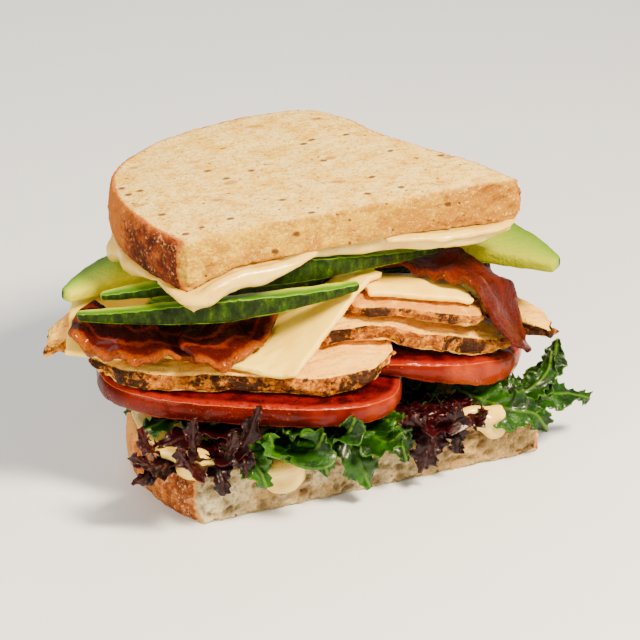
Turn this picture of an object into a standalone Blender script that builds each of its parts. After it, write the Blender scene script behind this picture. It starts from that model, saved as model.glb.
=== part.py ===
"""Half of a chicken, avocado, bacon, lettuce and tomato sandwich on thick white country bread.

The sandwich is piled up from the board, as a cook would do it. Each piece is an outline seen from above
and a thickness, and it is laid on the pile so far: Pile.lay() gives the lowest surface that clears what
lies beneath and is no steeper than the piece can bend. So every layer runs through the food and rests on
the one below. +X runs along the cut face, +Y into the sandwich and +Z up. All sizes below are in
millimetres, and mesh_object() scales them to Blender's metres. The last step moves the origin from the
near corner of the top slice to the middle of the sandwich, on the board.
"""

import math

import bmesh
import bpy
import numpy as np
from mathutils import Matrix

MM = 0.001

# Driving dimensions of the bread.
CUT_LENGTH = 112.0
SLICE_DEPTH = 84.5
SLICE_THICKNESS = 17.0
SLICE_MIDDLE = (0.45 * CUT_LENGTH, 0.42 * SLICE_DEPTH)
CRUST_BULGE = 1.4
CUT_BULGE = 0.25
CORNER_BULGE = 0.4

# The bottom slice is a little longer than the top one, and lies nearer the front.
BOTTOM_SHIFT = (2.0, -5.0)
BOTTOM_STRETCH = 1.045

# Thicknesses of the fillings.
TOMATO_THICKNESS = 7.4
CHICKEN_THICKNESS = 7.0
CHEESE_THICKNESS = 2.2
BACON_THICKNESS = 1.9
AVOCADO_THICKNESS = 6.2
BLUNT_TIP = 0.9
LEAF_THICKNESS = 0.9
SALAD_DEPTH = 10.6
SPREAD_THICKNESS = 1.6

# The lettuce is piled deeper at the back and thinner at the right, so the fillings lean that way.
BACK_RISE = 0.055
SALAD_FALL = 0.066

# How pieces lie on each other.
REST_GAP = 0.4
CELL = 1.0
TOP_CLEARANCE = 3.0

# The top slice's cut edge is pressed thinner than the rest, but for its near corner: how much thinner, from
# where along the cut to where, and how far into the sandwich.
ARCH_RISE = 4.6
ARCH_START = (0.0, 16.0)
ARCH_FAR_END = (0.68, 72.0, 104.0)
ARCH_REACH = (9.0, 20.0)

# How many points an outline has round its crust and along its cut.
BREAD_STEPS = (42, 13)
BOTTOM_SAUCE_STEPS = (36, 11)
TOP_SAUCE_STEPS = (34, 17)

# The rings of points between a slice's middle and its outline, as shares of the way out.
BREAD_RINGS = (0.7, 1.0)
ARCHED_RINGS = (0.45, 0.75, 1.0)

# How many points a strip has along and across, and a sauce drop round and from top to bottom.
CHICKEN_STEPS = (12, 4)
BACON_STEPS = (17, 4)
AVOCADO_STEPS = (13, 4)
CHEESE_STEPS = (9, 8)
LEAF_STEPS = (8, 5)
DROP_STEPS = (8, 5)

# Base colours of the materials, and their roughness.
CRUMB = ((0.86, 0.72, 0.52), 0.85)
SAUCE = ((0.90, 0.78, 0.58), 0.35)
TOMATO = ((0.62, 0.06, 0.02), 0.3)
CHICKEN = ((0.80, 0.56, 0.34), 0.6)
CHEESE = ((0.90, 0.74, 0.47), 0.4)
BACON = ((0.38, 0.05, 0.03), 0.35)
AVOCADO = ((0.38, 0.47, 0.07), 0.5)
LETTUCE = ((0.10, 0.20, 0.03), 0.45)


# ---------------------------------------------------------------- curves and outlines


def smooth_curve(points, count, closed=False):
    """Evenly spaced points on a Catmull-Rom curve through the given ones, in two or three dimensions."""
    p = np.array(points, float)
    if closed:
        p = np.vstack([p[-1], p, p[:2]])
    else:
        p = np.vstack([2 * p[0] - p[1], p, 2 * p[-1] - p[-2]])
    dense = []
    for before, start, end, after in zip(p, p[1:], p[2:], p[3:]):
        for t in np.linspace(0, 1, 20, endpoint=False):
            bend = 2 * before - 5 * start + 4 * end - after
            twist = 3 * start - before - 3 * end + after
            dense.append(start + 0.5 * t * (end - before + t * (bend + t * twist)))
    dense = np.array(dense + [p[-2]])
    length = np.concatenate([[0], np.cumsum(np.linalg.norm(np.diff(dense, axis=0), axis=1))])
    wanted = np.linspace(0, length[-1], count, endpoint=not closed)
    return np.stack([np.interp(wanted, length, column) for column in dense.T], axis=1)


def outward(outline):
    """Unit normals of a counter-clockwise outline."""
    along = np.roll(outline, -1, axis=0) - np.roll(outline, 1, axis=0)
    along /= np.maximum(np.linalg.norm(along, axis=1), 1e-9)[:, None]
    return np.stack([along[:, 1], -along[:, 0]], axis=1)


def slice_outline(shift, stretch, steps):
    """A half slice of a round loaf: a straight cut at the front, then the crust round the back.

    The second result is True for the points of the crust."""
    crust_points, cut_points = steps
    crust = [
        (CUT_LENGTH, 0),
        (0.945 * CUT_LENGTH, 0.25 * SLICE_DEPTH),
        (0.855 * CUT_LENGTH, 0.46 * SLICE_DEPTH),
        (0.795 * CUT_LENGTH, 0.63 * SLICE_DEPTH),
        (0.765 * CUT_LENGTH, 0.80 * SLICE_DEPTH),
        (0.685 * CUT_LENGTH, 0.965 * SLICE_DEPTH),
        (0.53 * CUT_LENGTH, SLICE_DEPTH),
        (0.30 * CUT_LENGTH, 0.96 * SLICE_DEPTH),
        (0.115 * CUT_LENGTH, 0.85 * SLICE_DEPTH),
        (-0.02 * CUT_LENGTH, 0.69 * SLICE_DEPTH),
        (-0.075 * CUT_LENGTH, 0.46 * SLICE_DEPTH),
        (-0.072 * CUT_LENGTH, 0.25 * SLICE_DEPTH),
        (-0.042 * CUT_LENGTH, 0.09 * SLICE_DEPTH),
        (0, 0),
    ]
    round_back = smooth_curve(crust, crust_points)
    cut = np.linspace((0, 0), (CUT_LENGTH, 0), cut_points + 1)[1:-1]
    outline = np.vstack([cut, round_back])
    is_crust = np.arange(len(outline)) >= len(cut)
    return outline * (stretch, 1) + shift, is_crust


def oval(centre, half_length, half_depth, angle, squareness, count):
    """A superellipse turned by an angle in degrees. A squareness of 2 is an ellipse."""
    turn = np.linspace(0, 2 * math.pi, count, endpoint=False)
    x = half_length * np.sign(np.cos(turn)) * np.abs(np.cos(turn)) ** (2 / squareness)
    y = half_depth * np.sign(np.sin(turn)) * np.abs(np.sin(turn)) ** (2 / squareness)
    c, s = math.cos(math.radians(angle)), math.sin(math.radians(angle))
    return np.stack([c * x - s * y, s * x + c * y], axis=1) + centre


# ---------------------------------------------------------------- patches: a piece seen from above


class Patch:
    """Points in plan with triangles between them, and the border's indices, counter-clockwise."""

    def __init__(self, points, triangles, border):
        self.points = np.array(points, float)
        self.triangles = triangles
        self.border = list(border)

    def outline(self, grow=0.0):
        edge = self.points[self.border]
        return edge + grow * outward(edge)


def star_patch(outline, centre, rings):
    """Rings of the outline drawn in towards a centre."""
    count = len(outline)
    points = [np.array(centre, float)]
    for share in rings:
        points.extend(np.array(centre) + share * (outline - centre))
    triangles = [(0, 1 + i, 1 + (i + 1) % count) for i in range(count)]
    for ring in range(len(rings) - 1):
        inner = 1 + ring * count
        outer = inner + count
        for i in range(count):
            j = (i + 1) % count
            triangles += [(inner + i, outer + i, outer + j), (inner + i, outer + j, inner + j)]
    last = 1 + (len(rings) - 1) * count
    return Patch(points, triangles, range(last, last + count))


def grid_patch(places):
    """A patch from an array of plan points, places[i][j], with i along the piece and j across it."""
    rows, columns = len(places), len(places[0])
    points = [places[i][j] for i in range(rows) for j in range(columns)]

    def at(i, j):
        return i * columns + j

    triangles = []
    for i in range(rows - 1):
        for j in range(columns - 1):
            triangles.append((at(i, j), at(i + 1, j), at(i + 1, j + 1)))
            triangles.append((at(i, j), at(i + 1, j + 1), at(i, j + 1)))
    border = [at(i, 0) for i in range(rows)]
    border += [at(rows - 1, j) for j in range(1, columns)]
    border += [at(i, columns - 1) for i in range(rows - 2, -1, -1)]
    border += [at(0, j) for j in range(columns - 2, 0, -1)]
    return Patch(points, triangles, border)


def strip_patch(spine_points, half_widths, along, across):
    """A strip along a smooth line. half_widths(u) gives its width to the right and left of the line."""
    spine = smooth_curve(spine_points, along)
    ahead = np.gradient(spine, axis=0)
    ahead /= np.linalg.norm(ahead, axis=1)[:, None]
    left = np.stack([-ahead[:, 1], ahead[:, 0]], axis=1)
    places = []
    for i, u in enumerate(np.linspace(0, 1, along)):
        right_width, left_width = half_widths(u)
        steps = np.linspace(-right_width, left_width, across)
        places.append([spine[i] + step * left[i] for step in steps])
    return grid_patch(places)


def sheet_patch(corners, along, across):
    """A four-cornered sheet, corners counter-clockwise."""
    a, b, c, d = (np.array(corner, float) for corner in corners)
    places = []
    for u in np.linspace(0, 1, along):
        front = a * (1 - u) + b * u
        back = d * (1 - u) + c * u
        places.append([front * (1 - v) + back * v for v in np.linspace(0, 1, across)])
    return grid_patch(places)


def crescent_patch(start, end, outer_bow, inner_bow, along, across):
    """An avocado slice seen from above: its outer side bows out to the right of the line start-end."""
    start, end = np.array(start, float), np.array(end, float)
    ahead = (end - start) / np.linalg.norm(end - start)
    right = np.array([ahead[1], -ahead[0]])
    places = []
    for u in np.linspace(0, 1, along):
        swell = math.sin(math.pi * (0.03 + 0.94 * u)) ** 0.75
        lean = 0.06 * math.sin(2 * math.pi * u)
        middle = start + (end - start) * (u + 0.5 * lean)
        outer = outer_bow * swell
        inner = inner_bow * swell - BLUNT_TIP
        places.append([middle + right * (outer + (inner - outer) * v) for v in np.linspace(0, 1, across)])
    return grid_patch(places)


# ---------------------------------------------------------------- the pile


class Pile:
    """How high the pile stands so far, on a grid of cells, and how the next piece lies on it."""

    def __init__(self, low, high):
        self.xs = np.arange(low[0], high[0], CELL)
        self.ys = np.arange(low[1], high[1], CELL)
        self.top = np.zeros((len(self.xs), len(self.ys)))

    def covers(self, outline):
        """True for the cells inside an outline."""
        x, y = np.meshgrid(self.xs, self.ys, indexing="ij")
        inside = np.zeros(x.shape, bool)
        for (x0, y0), (x1, y1) in zip(outline, np.roll(outline, -1, axis=0)):
            if y0 != y1:
                crosses = (y0 > y) != (y1 > y)
                inside ^= crosses & (x < (x1 - x0) * (y - y0) / (y1 - y0) + x0)
        return inside

    @staticmethod
    def neighbours(heights):
        """The grid moved one cell each way, with each move's length."""
        padded = np.pad(heights, 1, mode="edge")
        for dx in (-1, 0, 1):
            for dy in (-1, 0, 1):
                if dx or dy:
                    shifted = padded[1 + dx : 1 + dx + heights.shape[0], 1 + dy : 1 + dy + heights.shape[1]]
                    yield shifted, CELL * math.hypot(dx, dy)

    def widest(self, heights):
        """Each cell's height, or its highest neighbour's."""
        return np.max([heights] + [moved for moved, _ in self.neighbours(heights)], axis=0)

    def lay(self, outline, slope, limp=6, tilt=(0, 0)):
        """The lowest surface over the pile that is within slope of the tilt, smoothed limp times."""
        lean = tilt[0] * self.xs[:, None] + tilt[1] * self.ys[None, :]
        support = self.widest(self.top) + REST_GAP - lean
        support[~self.widest(self.covers(outline).astype(float)).astype(bool)] = -1e3
        surface = support.copy()
        for _ in range(90):
            for moved, length in self.neighbours(surface):
                surface = np.maximum(surface, moved - slope * length)
        for _ in range(limp):
            mean = np.mean([moved for moved, _ in self.neighbours(surface)], axis=0)
            surface = np.maximum(mean, support)
        return surface + lean

    def cells_under(self, a, b, c, margin=0.02):
        """The grid cells under a triangle: their place in the grid, and the shares of its corners b and c."""
        low, high = np.minimum(np.minimum(a, b), c) - CELL, np.maximum(np.maximum(a, b), c) + CELL
        i0, i1 = np.searchsorted(self.xs, (low[0], high[0]))
        j0, j1 = np.searchsorted(self.ys, (low[1], high[1]))
        x, y = np.meshgrid(self.xs[i0:i1], self.ys[j0:j1], indexing="ij")
        area = (b[0] - a[0]) * (c[1] - a[1]) - (c[0] - a[0]) * (b[1] - a[1])
        if abs(area) < 1e-6 or not x.size:
            return None
        wb = ((x - a[0]) * (c[1] - a[1]) - (c[0] - a[0]) * (y - a[1])) / area
        wc = ((b[0] - a[0]) * (y - a[1]) - (x - a[0]) * (b[1] - a[1])) / area
        inside = (wb >= -margin) & (wc >= -margin) & (wb + wc <= 1 + margin)
        return (slice(i0, i1), slice(j0, j1)), wb, wc, inside

    def lift_clear(self, plan, heights, triangles):
        """Raises the corners of any flat face that would cut into the pile."""
        support = self.widest(self.top) + 0.85 * REST_GAP
        heights = heights.copy()
        for _ in range(4):
            for triangle in triangles:
                found = self.cells_under(*(plan[k] for k in triangle), margin=0.1)
                if found is None or not found[3].any():
                    continue
                where, wb, wc, inside = found
                za, zb, zc = (heights[k] for k in triangle)
                short = (support[where] - (za + wb * (zb - za) + wc * (zc - za)))[inside].max()
                if short > 0.01:
                    heights[list(triangle)] += short
        return heights

    def read(self, heights, points):
        """The grid's heights at points in plan, and its slope there."""
        u = np.clip((points[:, 0] - self.xs[0]) / CELL, 0, len(self.xs) - 1.001)
        v = np.clip((points[:, 1] - self.ys[0]) / CELL, 0, len(self.ys) - 1.001)
        i, j = u.astype(int), v.astype(int)
        fu, fv = u - i, v - j

        def mixed(grid):
            low = grid[i, j] * (1 - fu) + grid[i + 1, j] * fu
            high = grid[i, j + 1] * (1 - fu) + grid[i + 1, j + 1] * fu
            return low * (1 - fv) + high * fv

        slope_x, slope_y = np.gradient(heights, CELL)
        return mixed(heights), np.stack([mixed(slope_x), mixed(slope_y)], axis=1)

    def add(self, points, triangles):
        """Raises the pile to the top of a solid."""
        for triangle in triangles:
            a, b, c = (points[k] for k in triangle)
            found = self.cells_under(a, b, c)
            if found is None:
                continue
            where, wb, wc, inside = found
            height = np.clip(a[2] + wb * (b[2] - a[2]) + wc * (c[2] - a[2]), None, max(a[2], b[2], c[2]))
            self.top[where] = np.where(inside, np.maximum(self.top[where], height), self.top[where])


# ---------------------------------------------------------------- solids

# How a side bulges: shares of its height, with the bulge there as a share of the largest.
ROUND_SIDE = ((0.2, 0.85), (0.8, 0.85))
BARREL_SIDE = ((0.15, 0.6), (0.5, 1.0), (0.85, 0.6))
THIN_SIDE = ((0.5, 1.0),)
PLAIN_SIDE = ()


def material(name, colour, roughness):
    made = bpy.data.materials.new(name)
    made.use_nodes = True
    shader = made.node_tree.nodes["Principled BSDF"]
    shader.inputs["Base Color"].default_value = (*colour, 1)
    shader.inputs["Roughness"].default_value = roughness
    shader.inputs["Metallic"].default_value = 0
    return made


def object_of(name, mesh, look):
    """One named object with its own material, shaded smooth but for its sharp edges."""
    mesh.materials.append(material(name, *look))
    mesh.shade_smooth()
    mesh.set_sharp_from_angle(angle=math.radians(50))
    made = bpy.data.objects.new(name, mesh)
    bpy.context.scene.collection.objects.link(made)
    return made


def mesh_object(name, points, triangles, look):
    """An object from points in millimetres."""
    mesh = bpy.data.meshes.new(name)
    mesh.from_pydata([tuple(point) for point in np.array(points) * MM], [], [tuple(t) for t in triangles])
    mesh.update()
    return object_of(name, mesh, look)


def closed_slab(patch, bottom, top, bulge, levels):
    """Points and triangles of a patch at two heights, joined by a side that bulges between them.

    bottom and top are points in space, one for each point of the patch. levels is one of the sides
    above, and bulge is its largest bulge: one number, or one for each point of the border."""
    blocks = [bottom, top]
    count, edge = len(bottom), patch.border
    push = np.zeros((len(edge), 3))
    if levels:
        push[:, :2] = outward(patch.points[edge]) * np.broadcast_to(bulge, len(edge))[:, None]
    rings = [list(edge)]
    for share, swell in levels:
        start = sum(len(block) for block in blocks)
        blocks.append(bottom[edge] * (1 - share) + top[edge] * share + swell * push)
        rings.append(list(range(start, start + len(edge))))
    rings.append([count + k for k in edge])
    triangles = [(a + count, b + count, c + count) for a, b, c in patch.triangles]
    triangles += [(c, b, a) for a, b, c in patch.triangles]
    for lower, upper in zip(rings, rings[1:]):
        for i in range(len(edge)):
            j = (i + 1) % len(edge)
            triangles += [(lower[i], lower[j], upper[j]), (lower[i], upper[j], upper[i])]
    return np.vstack(blocks), triangles


def level(plan, height):
    """Points in space over points in plan. height is one number, or one for each point."""
    return np.column_stack([plan, np.broadcast_to(height, len(plan))])


def lay_piece(
    pile, name, patch, thickness, look, slope, bulge, levels=ROUND_SIDE, limp=6, tilt=(0, 0), wave=0.0
):
    """Lays a piece on the pile, which grows by it.

    thickness and wave, a rise above the surface that it lies on, are one number or one for each point."""
    surface = pile.lay(patch.outline(bulge + 0.5), slope, limp, tilt)
    low, steepness = pile.read(surface, patch.points)
    low = pile.lift_clear(patch.points, low, patch.triangles) + wave
    normal = np.column_stack([-steepness, np.ones(len(low))])
    normal /= np.linalg.norm(normal, axis=1)[:, None]
    bottom = level(patch.points, low)
    top = bottom + normal * np.broadcast_to(thickness, len(low))[:, None]
    points, triangles = closed_slab(patch, bottom, top, bulge, levels)
    pile.add(points, triangles)
    return mesh_object(name, points, triangles, look)


# ---------------------------------------------------------------- Booleans


def as_helper(made):
    """Marks an object that a Boolean uses and then removes."""
    made.hide_render = True
    made.display_type = "WIRE"
    return made


def apply_boolean(target, operation, members):
    """Joins objects to target, or cuts them from it, in one step, and removes them."""
    group = bpy.data.collections.new("members")
    bpy.context.scene.collection.children.link(group)
    for member in members:
        bpy.context.scene.collection.objects.unlink(member)
        group.objects.link(as_helper(member))
    step = target.modifiers.new(operation.lower(), "BOOLEAN")
    step.operation = operation
    step.solver = "MANIFOLD"
    step.operand_type = "COLLECTION"
    step.collection = group
    bpy.context.view_layer.update()
    graph = bpy.context.evaluated_depsgraph_get()
    result = bpy.data.meshes.new_from_object(target.evaluated_get(graph))
    target.modifiers.clear()
    target.data = result
    for member in members:
        bpy.data.objects.remove(member)
    bpy.data.collections.remove(group)


def keep_largest_part(made):
    """Drops the loose bits that a cut leaves behind."""
    shape = bmesh.new()
    shape.from_mesh(made.data)
    unseen = set(shape.verts)
    parts = []
    while unseen:
        waiting = [unseen.pop()]
        part = list(waiting)
        while waiting:
            for edge in waiting.pop().link_edges:
                for vertex in edge.verts:
                    if vertex in unseen:
                        unseen.remove(vertex)
                        part.append(vertex)
                        waiting.append(vertex)
        parts.append(part)
    parts.sort(key=len)
    bmesh.ops.delete(shape, geom=[vertex for part in parts[:-1] for vertex in part], context="VERTS")
    shape.to_mesh(made.data)
    shape.free()


# ---------------------------------------------------------------- bread


def ripple(points, size, pitch, seed):
    """A soft uneven rise and fall, from nought to twice the size."""
    x, y = points[:, 0] / pitch + 1.7 * seed, points[:, 1] / pitch + 0.9 * seed
    waves = np.sin(x + 0.6 * np.sin(1.3 * y)) * np.cos(1.1 * y - 0.5 * x) + 0.5 * np.sin(2.3 * x - 1.9 * y)
    return size * (1 + waves / 1.5)


def bread_slice(name, shift, stretch, floor, arch, rings, seed):
    """A half slice with a rounded crust.

    floor(points) is the height that it lies at, and arch(points) how far its underside is pressed in."""
    outline, is_crust = slice_outline(shift, stretch, BREAD_STEPS)
    bulge = np.where(is_crust, CRUST_BULGE, CUT_BULGE)
    far_corner, near_corner = int(np.argmax(is_crust)), -1
    bulge[[far_corner, near_corner]] = CORNER_BULGE
    inset = outline - outward(outline) * (0.9 * bulge)[:, None]
    patch = star_patch(inset, np.array(SLICE_MIDDLE) + shift, rings)
    high = floor(patch.points) + SLICE_THICKNESS + ripple(patch.points, 0.35, 14, seed)
    high[patch.border] -= np.where(is_crust, 0.8, 0.3)
    bottom = level(patch.points, floor(patch.points) + arch(patch.points))
    top = level(patch.points, high)
    points, triangles = closed_slab(patch, bottom, top, bulge, BARREL_SIDE)
    mesh_object(name, points, triangles, CRUMB)
    return points, triangles


def bread_clearance(grow, height):
    """The bottom slice's space up to a height, grown a little, to keep soft things clear of it."""
    outline, _ = slice_outline(BOTTOM_SHIFT, BOTTOM_STRETCH, BREAD_STEPS)
    patch = star_patch(outline + grow * outward(outline), np.array(SLICE_MIDDLE) + BOTTOM_SHIFT, (1.0,))
    below_board = -2.0
    low, high = level(patch.points, below_board), level(patch.points, height)
    return mesh_object("clearance", *closed_slab(patch, low, high, 0.8, BARREL_SIDE), CRUMB)


# ---------------------------------------------------------------- sauce

# Where the sauce swells out over the bottom slice: the middle of each drop, above the slice's near
# corner on the cut face, and its three radii.
SAUCE_DROPS = (
    ((26, -2.4, -0.3), (11, 5.5, 3.6)),
    ((28, -3.2, -4.3), (7.5, 2.6, 6)),
    ((0, 1.5, 4.3), (7, 5, 5)),
    ((99, -1.6, 1.2), (7.5, 4.5, 2.6)),
    ((101, -2.8, -2.8), (4.6, 2.2, 4.4)),
)
DROP_ORIGIN = (0, BOTTOM_SHIFT[1], SLICE_THICKNESS)

# Where the top sauce swells out along the cut: the middle, half the length, and how far. Elsewhere it
# stops short of the cut, and the avocado shows.
TOP_DRIPS = ((12, 17, 4.2), (90, 15, 3.0))
TOP_SAUCE_RECESS = 3.0
TOP_SAUCE_DEPTH = 5.0


def sauce_drop(middle, radii, grow=0.0):
    """A sphere stretched to three radii."""
    shape = bmesh.new()
    turns, rings = DROP_STEPS
    bmesh.ops.create_uvsphere(shape, u_segments=turns, v_segments=rings, radius=1)
    bmesh.ops.scale(shape, vec=[(radius + grow) * MM for radius in radii], verts=shape.verts)
    place = [(start + step) * MM for start, step in zip(DROP_ORIGIN, middle)]
    bmesh.ops.translate(shape, vec=place, verts=shape.verts)
    mesh = bpy.data.meshes.new("drop")
    shape.to_mesh(mesh)
    shape.free()
    return object_of("drop", mesh, SAUCE)


def build_bread_bottom(pile):
    def flat(plan):
        return np.zeros(len(plan))

    points, triangles = bread_slice(
        "bread_bottom", BOTTOM_SHIFT, BOTTOM_STRETCH, flat, flat, BREAD_RINGS, seed=1.0
    )
    pile.add(points, triangles)


def build_bottom_sauce(pile):
    """A thin coat on the bottom slice, with drops that swell over the cut face and at the corner."""
    outline, _ = slice_outline(BOTTOM_SHIFT, BOTTOM_STRETCH, BOTTOM_SAUCE_STEPS)
    centre = np.array(SLICE_MIDDLE) + BOTTOM_SHIFT
    patch = star_patch(centre + 0.965 * (outline - centre), centre, (0.6, 1.0))
    made = lay_piece(
        pile, "mayo_bottom", patch, SPREAD_THICKNESS, SAUCE, slope=0.5, bulge=0.3, levels=THIN_SIDE, limp=2
    )
    swells = []
    for middle, radii in SAUCE_DROPS:
        swell = sauce_drop(middle, radii)
        apply_boolean(swell, "DIFFERENCE", [bread_clearance(0.5, SLICE_THICKNESS + 0.9)])
        swells.append(swell)
    apply_boolean(made, "UNION", swells)


# ---------------------------------------------------------------- lettuce

# Which way a leaf's upper face looks.
UPWARD = (0, -0.6, 1)
HANGING = (0, -1, 0.6)
SIDEWAYS = (-0.4, -0.5, 1)


class Leaf:
    """A lettuce leaf: its rib as points in space, half its width, its lobes and how its edge ruffles."""

    def __init__(self, rib, half_width, facing, lobes=3, notch=0.35, ruffle=1.6, phase=0.0):
        self.rib = rib
        self.half_width = half_width
        self.facing = np.array(facing, float)
        self.lobes = lobes
        self.notch = notch
        self.ruffle = ruffle
        self.phase = phase

    def surface(self, along, across, waves=3.0, cup=0.1):
        """Points of the leaf's middle surface, as an array along by across."""
        rib = smooth_curve(self.rib, along)
        ahead = np.gradient(rib, axis=0)
        ahead /= np.linalg.norm(ahead, axis=1)[:, None]
        side = np.cross(ahead, np.broadcast_to(self.facing, ahead.shape))
        side /= np.linalg.norm(side, axis=1)[:, None]
        normal = np.cross(side, ahead)
        u = np.linspace(0, 1, along)[:, None]
        v = np.linspace(-1, 1, across)[None, :]
        body = np.sin(np.pi * np.clip(0.16 + 0.80 * u, 0, 1)) ** 0.7
        lobing = 0.5 + 0.5 * np.cos(2 * np.pi * (self.lobes * u + 0.15 * np.sign(v) + self.phase))
        width = self.half_width * body * (1 - self.notch * lobing * np.abs(v) * np.clip(2.2 * u, 0, 1))
        loose = np.clip(1.6 * u - 0.35, 0, 1)
        swing = np.sin(2 * np.pi * (waves * u + 0.22 * np.sign(v) + self.phase))
        lift = self.ruffle * loose * np.abs(v) ** 1.6 * swing + cup * width * v**2
        sideways = side[:, None, :] * (v * width)[:, :, None]
        return rib[:, None, :] + sideways + normal[:, None, :] * lift[:, :, None]

    def solid(self):
        """The leaf as a thin closed solid, both faces split into triangles alike."""
        middle = self.surface(*LEAF_STEPS)
        normal = np.cross(np.gradient(middle, axis=0), np.gradient(middle, axis=1))
        normal /= np.linalg.norm(normal, axis=2)[:, :, None]
        bottom = (middle - normal * LEAF_THICKNESS / 2).reshape(-1, 3)
        top = (middle + normal * LEAF_THICKNESS / 2).reshape(-1, 3)
        points, triangles = closed_slab(grid_patch(middle), bottom, top, 0, PLAIN_SIDE)
        return mesh_object("leaf", points, triangles, LETTUCE)


GREEN_LEAVES = (
    # Lobes that curl up over the front of the tomato.
    Leaf([(34, 3, 23), (33, -9, 22), (34, -17, 25), (36, -20, 32)], 12, UPWARD, ruffle=1.8, phase=0.1),
    Leaf([(56, 3, 22.5), (57, -10, 21.5), (59, -17, 22), (62, -21, 27)], 9, UPWARD, ruffle=1.4, phase=0.45),
    Leaf([(24, 3, 23), (23, -8, 22), (21, -14, 27), (19, -16, 33)], 8, UPWARD, lobes=4, phase=0.3),
    # A long tongue and a point that hang over the cut face.
    Leaf([(49, 3, 22), (49, -8, 21.5), (51, -13, 15), (54, -14, 6)], 9, HANGING, ruffle=1.2, phase=0.2),
    Leaf([(15, 3, 24), (15, -8, 23), (17, -13, 20), (19, -14, 14)], 7.5, HANGING, lobes=4, phase=0.6),
    # The spray at the far end.
    Leaf([(97, 9, 21.5), (113, 0, 19.7), (125, 2, 25), (130, 5, 34)], 8, SIDEWAYS, ruffle=1),
    Leaf([(95, 8, 22), (110, -4, 20.1), (126, -4, 19), (138, -2, 14)], 8, UPWARD, ruffle=1.4, phase=0.5),
    Leaf([(95, 6, 21.7), (105, -8, 19.5), (113, -11, 18), (118, -11, 11)], 8, HANGING, ruffle=1.2, phase=0.8),
)
RED_LEAVES = (
    # The spray round the near corner.
    Leaf([(2, 8, 23), (-8, -2, 23), (-15, -5, 24), (-21, -4, 29)], 7, SIDEWAYS, 4, notch=0.6),
    Leaf([(2, 8, 22), (-8, -1, 22), (-15, -4, 21), (-21, -4, 19)], 6, SIDEWAYS, 4, notch=0.6, phase=0.4),
    Leaf([(4, 4, 23), (0, -7, 23), (-5, -12, 25), (-10, -13, 33)], 7, UPWARD, 4, notch=0.55, phase=0.2),
    Leaf([(7, 4, 23), (5, -7, 22), (5, -12, 19), (5, -13, 14)], 6, HANGING, 3, notch=0.3, phase=0.7),
    # A frilly bunch under the right-hand tomato.
    Leaf([(82, 4, 22), (82, -8, 20.5), (83, -13, 22), (83, -15, 29)], 9, UPWARD, 5, notch=0.5, phase=0.5),
    Leaf([(76, 4, 21), (76, -7, 20.5), (75, -12, 15), (72, -13, 7)], 9, HANGING, 4, notch=0.5, phase=0.1),
)
SALAD_MIDDLE = (54, 35)


def build_lettuce(pile):
    """A bed of leaves, with the leaves that show fused on and cut clear of the bread and the sauce."""
    outline = oval(SALAD_MIDDLE, 54, 36, -4, 3.0, 32)
    patch = star_patch(outline, SALAD_MIDDLE, (0.55, 1.0))
    depth = SALAD_DEPTH + ripple(patch.points, 0.7, 7, 3.0)
    right, back = np.clip(patch.points, 0, None).T
    depth += BACK_RISE * back - SALAD_FALL * right
    made = lay_piece(pile, "lettuce", patch, depth, LETTUCE, slope=0.3, bulge=1.5)
    apply_boolean(made, "UNION", [leaf.solid() for leaf in GREEN_LEAVES + RED_LEAVES])
    cutters = [bread_clearance(1.3, SLICE_THICKNESS + 2.7)]
    cutters += [sauce_drop(middle, radii, grow=0.6) for middle, radii in SAUCE_DROPS]
    for cutter in cutters:
        apply_boolean(made, "DIFFERENCE", [cutter])
    keep_largest_part(made)


# ---------------------------------------------------------------- fillings


def blunt(half_width, taper, wobble, seed):
    """Half widths of a strip with round blunt ends, which may taper and wobble."""

    def widths(u):
        end = max(0.0, 1 - abs(2 * u - 1) ** 5) ** 0.45
        width = half_width * (0.18 + 0.82 * end) * (1 - taper * u)
        uneven = wobble * math.sin(9 * u + seed)
        return width * (1 + uneven), width * (1 - 0.6 * uneven)

    return widths


def places_of(steps):
    """How far along and across a grid patch each of its points is, from 0 to 1."""
    along, across = steps
    return np.repeat(np.linspace(0, 1, along), across), np.tile(np.linspace(0, 1, across), along)


def build_tomatoes(pile):
    """Two thick slices. The right one lies on the left one's end, and slopes down from there.

    Each is a name, its outline, how it falls to the right, how much thicker its right-hand part is than
    usual, and how much of that is missing at its left end."""
    left = oval((28, 19.5), 48, 27, -23, 2.7, 32)
    right = oval((86.5, 28), 35, 35, -6, 2.3, 30)
    slices = (("tomato_left", left, 0.03, 0, 0), ("tomato_right", right, 0.145, 2.2, 5.6))
    for name, outline, fall, extra, thinning in slices:
        inset = outline - 1.6 * outward(outline)
        patch = star_patch(inset, outline.mean(axis=0), (0.5, 0.8, 1.0))
        thin_end = np.clip((96 - patch.points[:, 0]) / 36, 0, 1)
        thickness = TOMATO_THICKNESS + extra - thinning * thin_end
        lay_piece(pile, name, patch, thickness, TOMATO, fall, 1.6, BARREL_SIDE, tilt=(-fall, BACK_RISE))


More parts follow.
